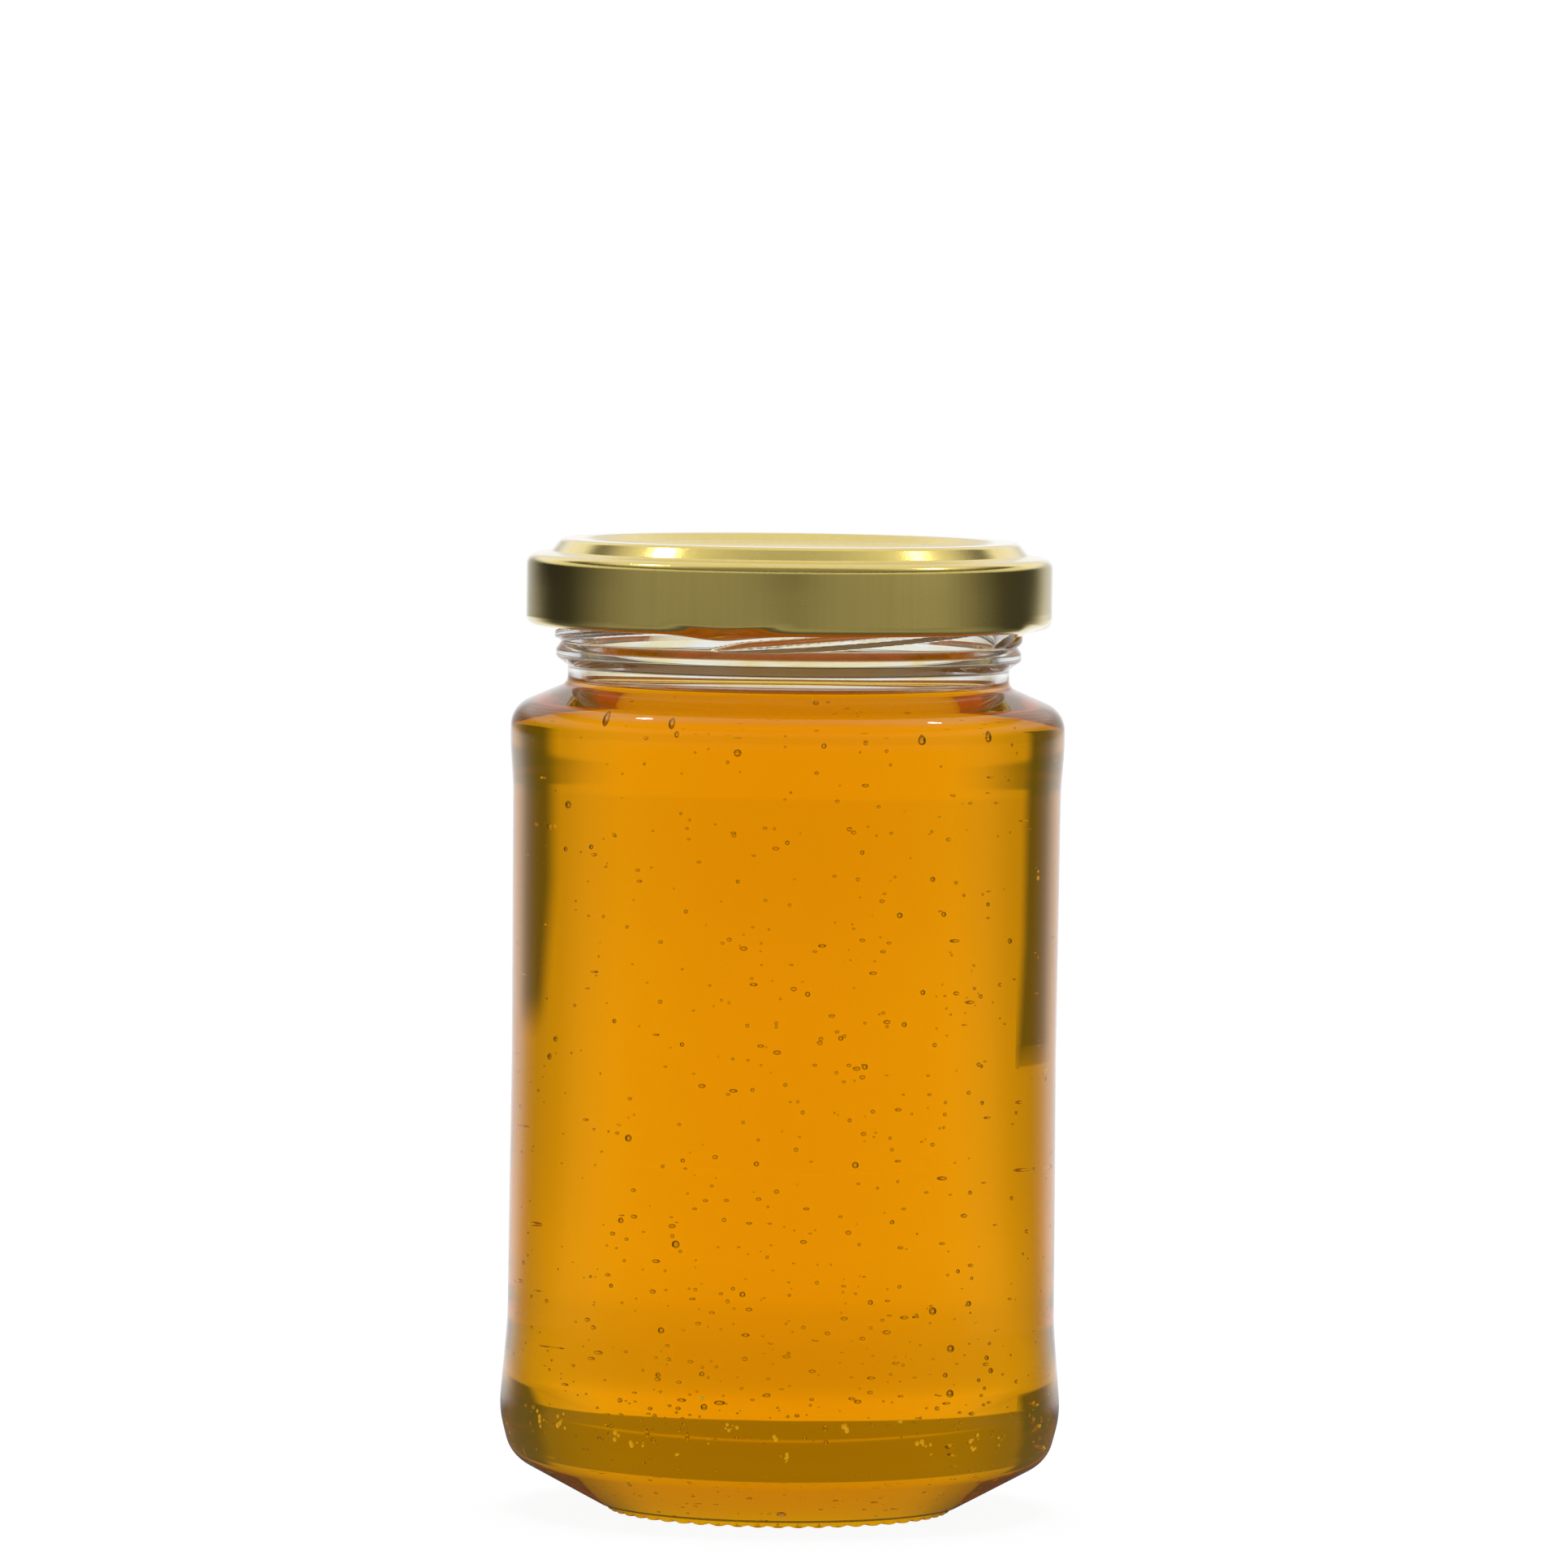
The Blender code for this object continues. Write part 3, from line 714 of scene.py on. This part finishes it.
glass = turn("clear_glass_jar", glass_outline, ROUND_STEPS, glass_push, glass_slots)

# %% [markdown]
# Glass is a Principled shader with full transmission and no roughness, faintly green. Where honey
# wets it, two surfaces lie on each other, and a renderer that meets glass, then honey, would bend and
# mirror at both. In truth light bends there only once, and very little. So the wetted slot bends by
# glass's number over honey's, and the honey's own wall, further below, doesn't bend at all.

# %% Kinds of glass
GLASS_IOR = 1.52
HONEY_IOR = 1.49
GLASS_TINT = (0.975, 0.99, 0.98, 1)
BODY_MIRROR = (0.12, 0.12, 0.12, 1)
SHOULDER_MIRROR = (0.3, 0.3, 0.3, 1)
# The ring's amber is a painted glow for the honey's light seen through it.
RING_PAINTED_HONEY_LIGHT = (0.88, 0.52, 0.10, 1)
# The groove's dark tint is painted shade, for the dark line that the groove's bend of light makes.
GROOVE_PAINTED_SHADE = (0.10, 0.13, 0.11, 1)
WAVES_AROUND = 110.0
WAVES_UP = 60.0
WAVE_STRENGTH = 0.5
WAVE_DEPTH = 0.00006


def glass_material(name, mirror_tint=WHITE, bends=GLASS_IOR, tint=GLASS_TINT):
    made, tree, shader = new_material(name)
    feed(tree, shader, Base_Color=tint, Roughness=0.0, IOR=bends, Transmission_Weight=1.0)
    feed(tree, shader, Specular_Tint=mirror_tint)
    bumped(tree, shader, grain_in(tree, WAVES_AROUND, WAVES_UP, detail=1.0), WAVE_STRENGTH, WAVE_DEPTH)
    return made


kinds = {
    PLAIN: glass_material("moulded_glass"),
    WETTED: glass_material("moulded_glass_wetted", bends=GLASS_IOR / HONEY_IOR),
    BODY: glass_material("moulded_glass_body", BODY_MIRROR),
    SMEARED_AND_REFLECTING: glass_material("moulded_glass_film_and_reflection"),
    SHOULDER: glass_material("moulded_glass_shoulder", SHOULDER_MIRROR),
    RING: glass_material("moulded_glass_ring", BODY_MIRROR, tint=RING_PAINTED_HONEY_LIGHT),
    GROOVE: glass_material("moulded_glass_groove", BODY_MIRROR, tint=GROOVE_PAINTED_SHADE),
}
for kind in sorted(kinds):
    glass.data.materials.append(kinds[kind])
print("kinds of glass:", [material.name for material in glass.data.materials])

# %% [markdown]
# Honey that splashed up has left a thin yellow film on the inside of the neck, in smears that run
# round it, and the same yellow smears stand for painted reflection of the gold lid and the honey's
# light in the neck glass. It could be a thin shell of its own, but a film that thin has no visible
# edge. So it is a tint of the glass, blended in by the shared grain, drawn out round the neck.

# %% Film of honey and painted reflection on the neck
# The yellow below stands partly for a honey film and partly for painted reflection of the lid and
# honey.
FILM_AND_REFLECTION_TINT = (0.92, 0.79, 0.38, 1)
FILM_AROUND = 130.0
FILM_UP = 420.0
FILM_CONTRAST = 4.0
tree = kinds[SMEARED_AND_REFLECTING].node_tree
film_and_reflection_share = grain_in(tree, FILM_AROUND, FILM_UP, detail=3.0, contrast=FILM_CONTRAST)
tinted = blend_colours(tree, film_and_reflection_share, GLASS_TINT, FILM_AND_REFLECTION_TINT)
feed(tree, tree.nodes["Principled BSDF"], Base_Color=tinted)
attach(glass, "jar")
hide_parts("glass_jar")
print("the film reaches", round(FILM_LEVEL - MENISCUS_LEVEL, 1), "mm up the neck")

# %% [markdown]
# ## The honey
# Honey fills the jar to the foot of the neck and climbs the glass a little at its rim, as any liquid
# does. It could be a plain cylinder, but a gap of air between it and the glass would mirror like
# quicksilver. So it is turned from the jar's own cavity, a hair larger, and the two overlap.

# %% Honey shape
OVERLAP = 0.06
FILL_LEVEL = 108.0
# Radius, and how far the surface has climbed there.
HONEY_RIM = [(0, 0), (23.0, 0), (25.2, 0.03), (26.2, 0.12), (26.8, 0.33), (27.15, 0.62)]
honey_wall = cavity[: first_dry + 1]
strides = np.diff(honey_wall, axis=0)
strides = np.vstack([strides, strides[-1:]])
lengths = np.maximum(np.hypot(strides[:, 0], strides[:, 1]), TINY)
outward = np.stack([strides[:, 1] / lengths, -strides[:, 0] / lengths], axis=1)
honey_wall = honey_wall + outward * OVERLAP
honey_wall[0, 0] = 0
honey_top = np.array([(radius, FILL_LEVEL + climbed) for radius, climbed in HONEY_RIM])
honey_outline = np.vstack([honey_top, honey_wall[::-1]])
honey = turn("amber_honey", honey_outline, ROUND_STEPS)

# %% [markdown]
# Honey is a clear liquid that swallows blue at once, green slowly and red hardly at all, so a thick
# jar of it is orange and its thin edges are yellow. A tinted surface alone would be one colour all
# over, so most of the colour is volume absorption, and the surface adds a light tint. Real honey also
# scatters a little light inside, which a faint glow of the volume stands for at no cost of time. Its
# wall has no bend of its own, since the wetted glass has done it, and a mask by height and radius
# gives the free surface on top the full bend of honey.

# %% Honey finish
HONEY_TINT = (1.0, 0.86, 0.12, 1)
HONEY_DENSITY = 200.0
HONEY_PASSES = (0.9807, 0.901, 0.25, 1)
HONEY_GLOW = (0.9, 1.4, 0.0, 1)
FREE_RADIUS = 27.2
FREE_FROM, FREE_FULLY = FILL_LEVEL - 0.6, FILL_LEVEL - 0.1
made, tree, shader = new_material("amber_honey")
spot = add_node(tree, "TexCoord").outputs["Object"]
spot = feed(tree, add_node(tree, "SeparateXYZ"), Vector=spot).outputs
squares = [maths(tree, "MULTIPLY", spot[axis], spot[axis]) for axis in "XY"]
off_axis = maths(tree, "SQRT", maths(tree, "ADD", *squares))
free = eased(tree, spot["Z"], FREE_FROM * MM, FREE_FULLY * MM)
free = maths(tree, "MULTIPLY", free, maths(tree, "LESS_THAN", off_axis, FREE_RADIUS * MM))
bends = blend(tree, free, 1.0, HONEY_IOR)
feed(tree, shader, Base_Color=HONEY_TINT, Roughness=0.0, IOR=bends, Transmission_Weight=1.0)
absorbing = feed(tree, add_node(tree, "VolumeAbsorption"), Color=HONEY_PASSES, Density=HONEY_DENSITY)
glowing = feed(tree, add_node(tree, "Emission"), Color=HONEY_GLOW, Strength=1.0)
both = feed(tree, add_node(tree, "AddShader"), i0=absorbing.outputs[0], i1=glowing.outputs[0])
tree.links.new(both.outputs[0], tree.nodes["Material Output"].inputs["Volume"])
honey.data.materials.append(made)
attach(honey, "jar")
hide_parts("honey")
honey_width = 2 * honey_wall[:, 0].max() * MM
left = [math.exp(-HONEY_DENSITY * (1 - passes) * honey_width) for passes in HONEY_PASSES[:3]]
print("red, green and blue left after the jar's width:", [round(part, 3) for part in left])

# %% [markdown]
# ## Air bubbles
# Honey keeps the air that was stirred into it: a few round bubbles as big as a pinhead, and a dust of
# tiny ones, thicker low in the jar. A noise in the honey's shader could hint at them, but real ones
# bend the light. So each is a small ball of air: its faces point inwards, out of the honey and into
# the air, and the shader bends light the way the honey does. The bigger ones that the photograph
# shows lie just behind the front glass and are placed one by one. The balls at the back look drawn
# out sideways by themselves, because the honey in front is a lens.

# %% Where the near bubbles sit
CENTRE_PIXEL = 966.0
FOOT_PIXEL = 1858.0
PIXEL = 0.10666
LENS_SHRINK = 0.965
BUBBLE_DEPTH = 32.9
# Column and row in the photograph, and the diameter in millimetres.
NEAR_BUBBLES = [
    (741, 893, 1.0), (822, 895, 0.9), (831, 902, 0.6), (1130, 905, 1.1), (1209, 901, 1.0),
    (701, 988, 1.1), (680, 1015, 1.0), (730, 1040, 0.7), (700, 1043, 0.7), (777, 1400, 1.0),
    (836, 1531, 1.1), (934, 1430, 0.7), (1055, 1430, 0.9), (1152, 1610, 1.1), (1174, 1657, 1.1),
    (1220, 1684, 0.8), (1173, 1713, 1.1), (820, 1638, 0.9), (874, 1733, 0.9), (1035, 1273, 0.7),
    (994, 1219, 0.7), (1010, 912, 0.7), (967, 1032, 0.6), (1058, 1043, 0.6), (1134, 1215, 0.7),
    (1065, 1308, 0.8), (1112, 1255, 0.7), (770, 1502, 0.8), (919, 1592, 0.8), (1075, 1600, 0.7),
    (1194, 1600, 0.8), (1166, 1690, 0.7), (1215, 1668, 0.7), (871, 1692, 0.7), (818, 1694, 0.7),
    (760, 1583, 0.6), (1100, 1500, 0.6), (1180, 1560, 0.6), (690, 1278, 0.8), (683, 1300, 0.9),
    (842, 1283, 0.6), (760, 1255, 0.6), (972, 1845, 1.3), (1144, 1075, 0.7), (1158, 1118, 0.7),
    (1105, 1120, 0.8), (1237, 1150, 0.8), (1210, 1105, 0.6),
]
honey_side = honey_wall[honey_wall[:, 1].argmin():]


def honey_radius(level):
    """How far the honey reaches at this level."""
    return np.interp(level, honey_side[:, 1], honey_side[:, 0])


def behind_front_glass(column, row, size):
    """Where a ball of this size lies against the front glass, to be seen at this pixel."""
    across = (column - CENTRE_PIXEL) * PIXEL * LENS_SHRINK
    depth = math.sqrt(max(BUBBLE_DEPTH ** 2 - across ** 2, 0))
    flat = (FOOT_PIXEL - row) * PIXEL
    up = flat + depth * (CAMERA_HEIGHT / MM - flat) / (CAMERA_DISTANCE / MM)
    inside = min(1.0, (honey_radius(up) - size) / BUBBLE_DEPTH)
    return across * inside, -depth * inside, up, size


balls = [behind_front_glass(*near) for near in NEAR_BUBBLES]
print("bubbles behind the front glass:", len(balls))

# %% [markdown]
# The dust can't be copied one by one, so it is strewn by chance, with a fixed seed that gives the
# same jar every time. A power of the chance number makes small balls and low places likelier, and a
# last handful settles along the heel.

# %% Strew the dust
DUST_COUNT = 900
DUST_SIZES = (0.2, 0.62)
DUST_LOW, DUST_HIGH = 12.0, 103.0
DUST_REACH = 32.6
DUST_SETTLING = 1.7
DUST_FINENESS = 1.5
HEEL_DUST_COUNT = 90
HEEL_DUST_LEVELS = (9.5, 15.0)
HEEL_DUST_SIZES = (0.2, 0.6)
HEEL_DUST_DEPTH = 1.5
SEED = 7
draw = np.random.default_rng(SEED)
for _ in range(DUST_COUNT):
    up = DUST_LOW + (DUST_HIGH - DUST_LOW) * draw.random() ** DUST_SETTLING
    out, angle = DUST_REACH * math.sqrt(draw.random()), draw.random() * math.tau
    size = DUST_SIZES[0] * (DUST_SIZES[1] / DUST_SIZES[0]) ** (draw.random() ** DUST_FINENESS)
    balls.append((out * math.sin(angle), -out * math.cos(angle), up, size))
for _ in range(HEEL_DUST_COUNT):
    up, angle = draw.uniform(*HEEL_DUST_LEVELS), draw.random() * math.tau
    size = draw.uniform(*HEEL_DUST_SIZES)
    out = honey_radius(up) - size - draw.random() * HEEL_DUST_DEPTH
    balls.append((out * math.sin(angle), -out * math.cos(angle), up, size))
print("bubbles in all:", len(balls))

# %% Blow the bubbles
ball = bmesh.new()
bmesh.ops.create_icosphere(ball, subdivisions=2, radius=0.5)
ball_spots = np.array([vertex.co[:] for vertex in ball.verts])
ball_faces = np.array([[vertex.index for vertex in face.verts][::-1] for face in ball.faces])
ball.free()


def blow(name, balls, finish):
    """One piece with a ball of air for every (x, y, z, diameter)."""
    spots = np.vstack([ball_spots * size + (x, y, z) for x, y, z, size in balls]) * MM
    faces = np.vstack([ball_faces + i * len(ball_spots) for i in range(len(balls))])
    mesh = bpy.data.meshes.new(name)
    mesh.from_pydata(spots.tolist(), [], faces.tolist())
    mesh.polygons.foreach_set("use_smooth", [True] * len(faces))
    mesh.update()
    mesh.materials.append(finish)
    made = bpy.data.objects.new(name, mesh)
    bpy.context.scene.collection.objects.link(made)
    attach(made, "jar")
    print(name, "has", len(balls), "balls")


AIR_GRAIN = 900.0
AIR_DENTS = 0.00002
air, tree, shader = new_material("air_in_honey")
feed(tree, shader, Base_Color=WHITE, Roughness=0.0, IOR=HONEY_IOR, Transmission_Weight=1.0)
bumped(tree, shader, grain_in(tree, AIR_GRAIN, AIR_GRAIN, detail=1.0), 0.2, AIR_DENTS)
blow("air_bubbles", balls, air)

# %% [markdown]
# Low in the jar, where the heel bends the view away from the white table, the honey looks brown, and
# there the bubbles caught against the glass shine out as gold specks. They could be clear bubbles as
# well, but they see light from all round, more than a renderer finds for a ball that small. So they
# are gold balls with a little glow of their own, and their gold and glow are painted glints.

# %% Gold specks at the heel
# Column, row, how many specks, and how far they spread in millimetres.
SPECK_GROUPS = [
    (679, 1748, 6, 0.9), (703, 1750, 6, 0.9), (766, 1769, 3, 0.5), (782, 1777, 3, 0.5),
    (797, 1777, 3, 0.6), (840, 1790, 2, 0.4), (879, 1774, 2, 0.4), (905, 1756, 6, 0.8),
    (960, 1769, 2, 0.3), (974, 1790, 6, 0.8), (1047, 1756, 6, 0.8), (1111, 1750, 3, 0.5),
    (1139, 1771, 4, 0.6), (1153, 1780, 3, 0.6), (1205, 1769, 7, 1.1), (1234, 1766, 3, 0.5),
    (872, 1722, 1, 0.2), (1278, 1310, 3, 1.2), (1268, 1063, 3, 1.0), (681, 1014, 3, 0.7),
]
SPECK_SIZES = (0.18, 0.68)
specks = []
for column, row, count, spread in SPECK_GROUPS:
    x, y, z, _ = behind_front_glass(column, row, SPECK_SIZES[1])
    for _ in range(count):
        size = draw.uniform(*SPECK_SIZES)
        off = draw.normal(0, spread / 2, 3)
        inwards = 1 - abs(off[1]) / BUBBLE_DEPTH
        specks.append(((x + off[0]) * inwards, y * inwards, z + off[2], size))
print("specks:", len(specks))

# %% Speck finish
# The specks' gold colour and glow are painted glints of light caught in bubbles.
SPECK_GLINT_COLOUR = (1.0, 0.56, 0.05, 1)
SPECK_GLOW = 0.3
SPECK_GRAIN = 2500.0
SPECK_DENTS = 0.00003
lit, tree, shader = new_material("lit_specks")
glint = grain_in(tree, SPECK_GRAIN, SPECK_GRAIN, detail=1.0, contrast=2.0)
feed(tree, shader, Base_Color=SPECK_GLINT_COLOUR, Roughness=0.3, IOR=HONEY_IOR)
feed(tree, shader, Emission_Color=SPECK_GLINT_COLOUR, Emission_Strength=SPECK_GLOW)
bumped(tree, shader, glint, 0.3, SPECK_DENTS)
blow("gold_specks", specks, lit)

# %% [markdown]
# ## The lid
# The lid is one disc of tinplate, pressed into a cap. Its flat panel is sunk inside a raised ring,
# the skirt drops from a narrow ledge, and the edge is rolled inwards into a curl. At four places the
# curl is pressed flat and pushed in as a lug, and there the skirt's edge lifts a little. The lugs
# could be cut and added, but the real lid is one sheet. So the same outline helper turns it, and the
# curl is blended into the lug's outline as it goes round.

# %% Lid outlines in millimetres
SKIRT_RADIUS = 34.6
HEM_LEVEL = 118.9
LID_TOP = [
    (0, 126.87, 0), (25.42, 126.87, 1.0), (27.22, 127.92, 1.1), (30.02, 127.92, 1.1),
    (31.42, 126.17, 0.6), (SKIRT_RADIUS, 125.77, 1.4), (SKIRT_RADIUS, HEM_LEVEL, 0),
]
LUG = [
    (SKIRT_RADIUS, HEM_LEVEL, 0), (34.55, 117.42, 0.6), (33.0, 116.75, 1.0), (31.75, 116.1, 1.5),
    (30.35, 115.7, 0.3), (30.35, 117.04, 0.3), (31.8, 117.35, 1.0), (33.2, 118.2, 1.0),
    (33.5, HEM_LEVEL, 0),
]
LID_STEP = 3.0
CURL_CENTRE = (33.45, 117.68)
CURL_RADIUS = 1.15
CURL_TURN = math.radians(250)
CURL_STEPS = 40
HEM_POINTS = 48


def evenly(points, count):
    """The same path drawn with this many evenly spaced points."""
    lengths = np.concatenate([[0], np.cumsum(np.hypot(*np.diff(points, axis=0).T))])
    at = np.linspace(0, lengths[-1], count)
    return np.stack([np.interp(at, lengths, points[:, side]) for side in (0, 1)], axis=1)


turns = np.linspace(0, -CURL_TURN, CURL_STEPS)
curl_x = CURL_CENTRE[0] + CURL_RADIUS * np.cos(turns)
curl_z = CURL_CENTRE[1] + CURL_RADIUS * np.sin(turns)
curl = np.vstack([[[SKIRT_RADIUS, HEM_LEVEL]], np.stack([curl_x, curl_z], axis=1)])
curl = evenly(curl, HEM_POINTS)
lug = evenly(filleted(LUG), HEM_POINTS)
lid_face = finer(filleted(LID_TOP), LID_STEP)
print("the lid's outline has", len(lid_face), "points above its hem and", HEM_POINTS, "in it")

# %% Both sides of the sheet
SHEET = 0.22


def inner_side(points):
    """The other side of the sheet, to the right of the path."""
    ahead = np.gradient(points, axis=0)
    ahead /= np.maximum(np.hypot(ahead[:, 0], ahead[:, 1]), TINY)[:, None]
    moved = points + np.stack([ahead[:, 1], -ahead[:, 0]], axis=1) * SHEET
    moved[0, 0] = points[0, 0]
    return moved


def whole_outline(hem):
    """The lid's outline with this hem, down the outside and back up the inside."""
    outer = np.vstack([lid_face, hem[1:]])
    return np.vstack([outer, inner_side(outer)[::-1]])


plain = whole_outline(curl)
pressed = whole_outline(lug)
print("the sheet is", SHEET, "mm thick and its outline has", len(plain), "points")

# %% Turn the lid
LUG_ANGLE = -14.0
LUG_HALF = 16.0
LUG_SLOPE_REACH = 4
LUG_TOP = 119


def lid_push(angle, radius, level):
    """Blends the curl into the lug near each of the four lugs, and tilts the lug along the thread."""
    halfway = THREAD_SPACING / 2
    from_lug = (np.degrees(angle) - LUG_ANGLE + halfway) % THREAD_SPACING - halfway
    share = smooth((LUG_HALF - np.abs(from_lug)) / LUG_HALF)
    made_radius = plain[:, :1] * (1 - share) + pressed[:, :1] * share
    made_level = plain[:, 1:] * (1 - share) + pressed[:, 1:] * share
    inwards = np.clip((SKIRT_RADIUS - made_radius) / LUG_SLOPE_REACH, 0, 1)
    reach = inwards * (made_level < LUG_TOP) * share
    return made_radius, made_level + reach * THREAD_LEAD / 360 * from_lug


def lid_slots(row, level):
    """0 for the lacquered outside, 1 for the enamelled inside."""
    return int(len(plain) // 2 <= row < len(plain) - 1)


lid = turn("gold_lid", plain, ROUND_STEPS * 2, lid_push, lid_slots)

# %% [markdown]
# The tinplate is printed with a gold lacquer, which is a clear yellow coat over bright metal. One
# gold colour would look like plastic, so it is metal under a clear coat, with the mill's fine upright
# streaks in its colour and its satin, and tiny flecks in its height. The inside has a cream enamel
# against the food's acid, plain and a little mottled.

# %% Gold lacquer
GOLD_PALE = (0.91, 0.71, 0.195, 1)
GOLD_DEEP = (0.81, 0.625, 0.14, 1)
STREAKS_AROUND = 1100.0
STREAKS_UP = 18.0
SATIN = 0.17
STREAK_SHINE = 0.04
COAT_ROUGHNESS = 0.1
COAT_IOR = 1.5
FLECKS = 5000.0
FLECK_STRENGTH = 0.14
FLECK_DEPTH = 0.00004
made, tree, shader = new_material("gold_lacquer")
streaks = grain_in(tree, STREAKS_AROUND, STREAKS_UP, detail=4.0, contrast=1.0)
flecks = grain_in(tree, FLECKS, FLECKS, detail=1.0, contrast=1.5)
gold = blend_colours(tree, streaks, GOLD_DEEP, GOLD_PALE)
rough = eased(tree, streaks, 0.0, 1.0, SATIN, SATIN - STREAK_SHINE)
feed(tree, shader, Base_Color=gold, Metallic=1.0, Roughness=rough)
feed(tree, shader, Coat_Weight=1.0, Coat_Roughness=COAT_ROUGHNESS, Coat_IOR=COAT_IOR)
bumped(tree, shader, flecks, FLECK_STRENGTH, FLECK_DEPTH)
lid.data.materials.append(made)
print("a streak is about", round(1 / STREAKS_AROUND / MM, 1), "mm wide")

# %% Cream enamel
ENAMEL = (0.83, 0.80, 0.70, 1)
ENAMEL_WORN = (0.76, 0.72, 0.60, 1)
ENAMEL_GRAIN = 400.0
ENAMEL_ROUGHNESS = 0.35
ENAMEL_DENTS = 0.00003
made, tree, shader = new_material("cream_enamel")
cream = grain_in(tree, ENAMEL_GRAIN, ENAMEL_GRAIN, detail=3.0, contrast=1.4)
mottled = blend_colours(tree, cream, ENAMEL_WORN, ENAMEL)
feed(tree, shader, Base_Color=mottled, Roughness=ENAMEL_ROUGHNESS)
bumped(tree, shader, cream, 0.2, ENAMEL_DENTS)
lid.data.materials.append(made)
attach(lid, "lid")
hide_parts("lid_shell")
print("the lid has", len(lid.data.materials), "finishes")

# %% [markdown]
# ## The sealing ring
# Inside the lid's channel a ring of soft sealing compound meets the lip. It could be turned again
# like the rest, but the CAD ring has the right shape already, so it stays and only gets its finish: a
# pale satin plastic, a little mottled.

# %% Sealing ring finish
COMPOUND_DARK = (0.74, 0.69, 0.56, 1)
COMPOUND_LIGHT = (0.86, 0.82, 0.70, 1)
COMPOUND_GRAIN = 600.0
made, tree, shader = new_material("sealing_compound")
tint = add_node(tree, "ValToRGB")
tint.color_ramp.elements[0].color = COMPOUND_DARK
tint.color_ramp.elements[1].color = COMPOUND_LIGHT
feed(tree, tint, Fac=grain_in(tree, COMPOUND_GRAIN, COMPOUND_GRAIN, detail=3.0))
feed(tree, shader, Base_Color=tint.outputs[0], Roughness=0.5)
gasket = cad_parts["lid_gasket"]
gasket.data.materials.clear()
gasket.data.materials.append(made)
print("the sealing ring is", round(gasket.dimensions.x / MM, 1), "mm across")
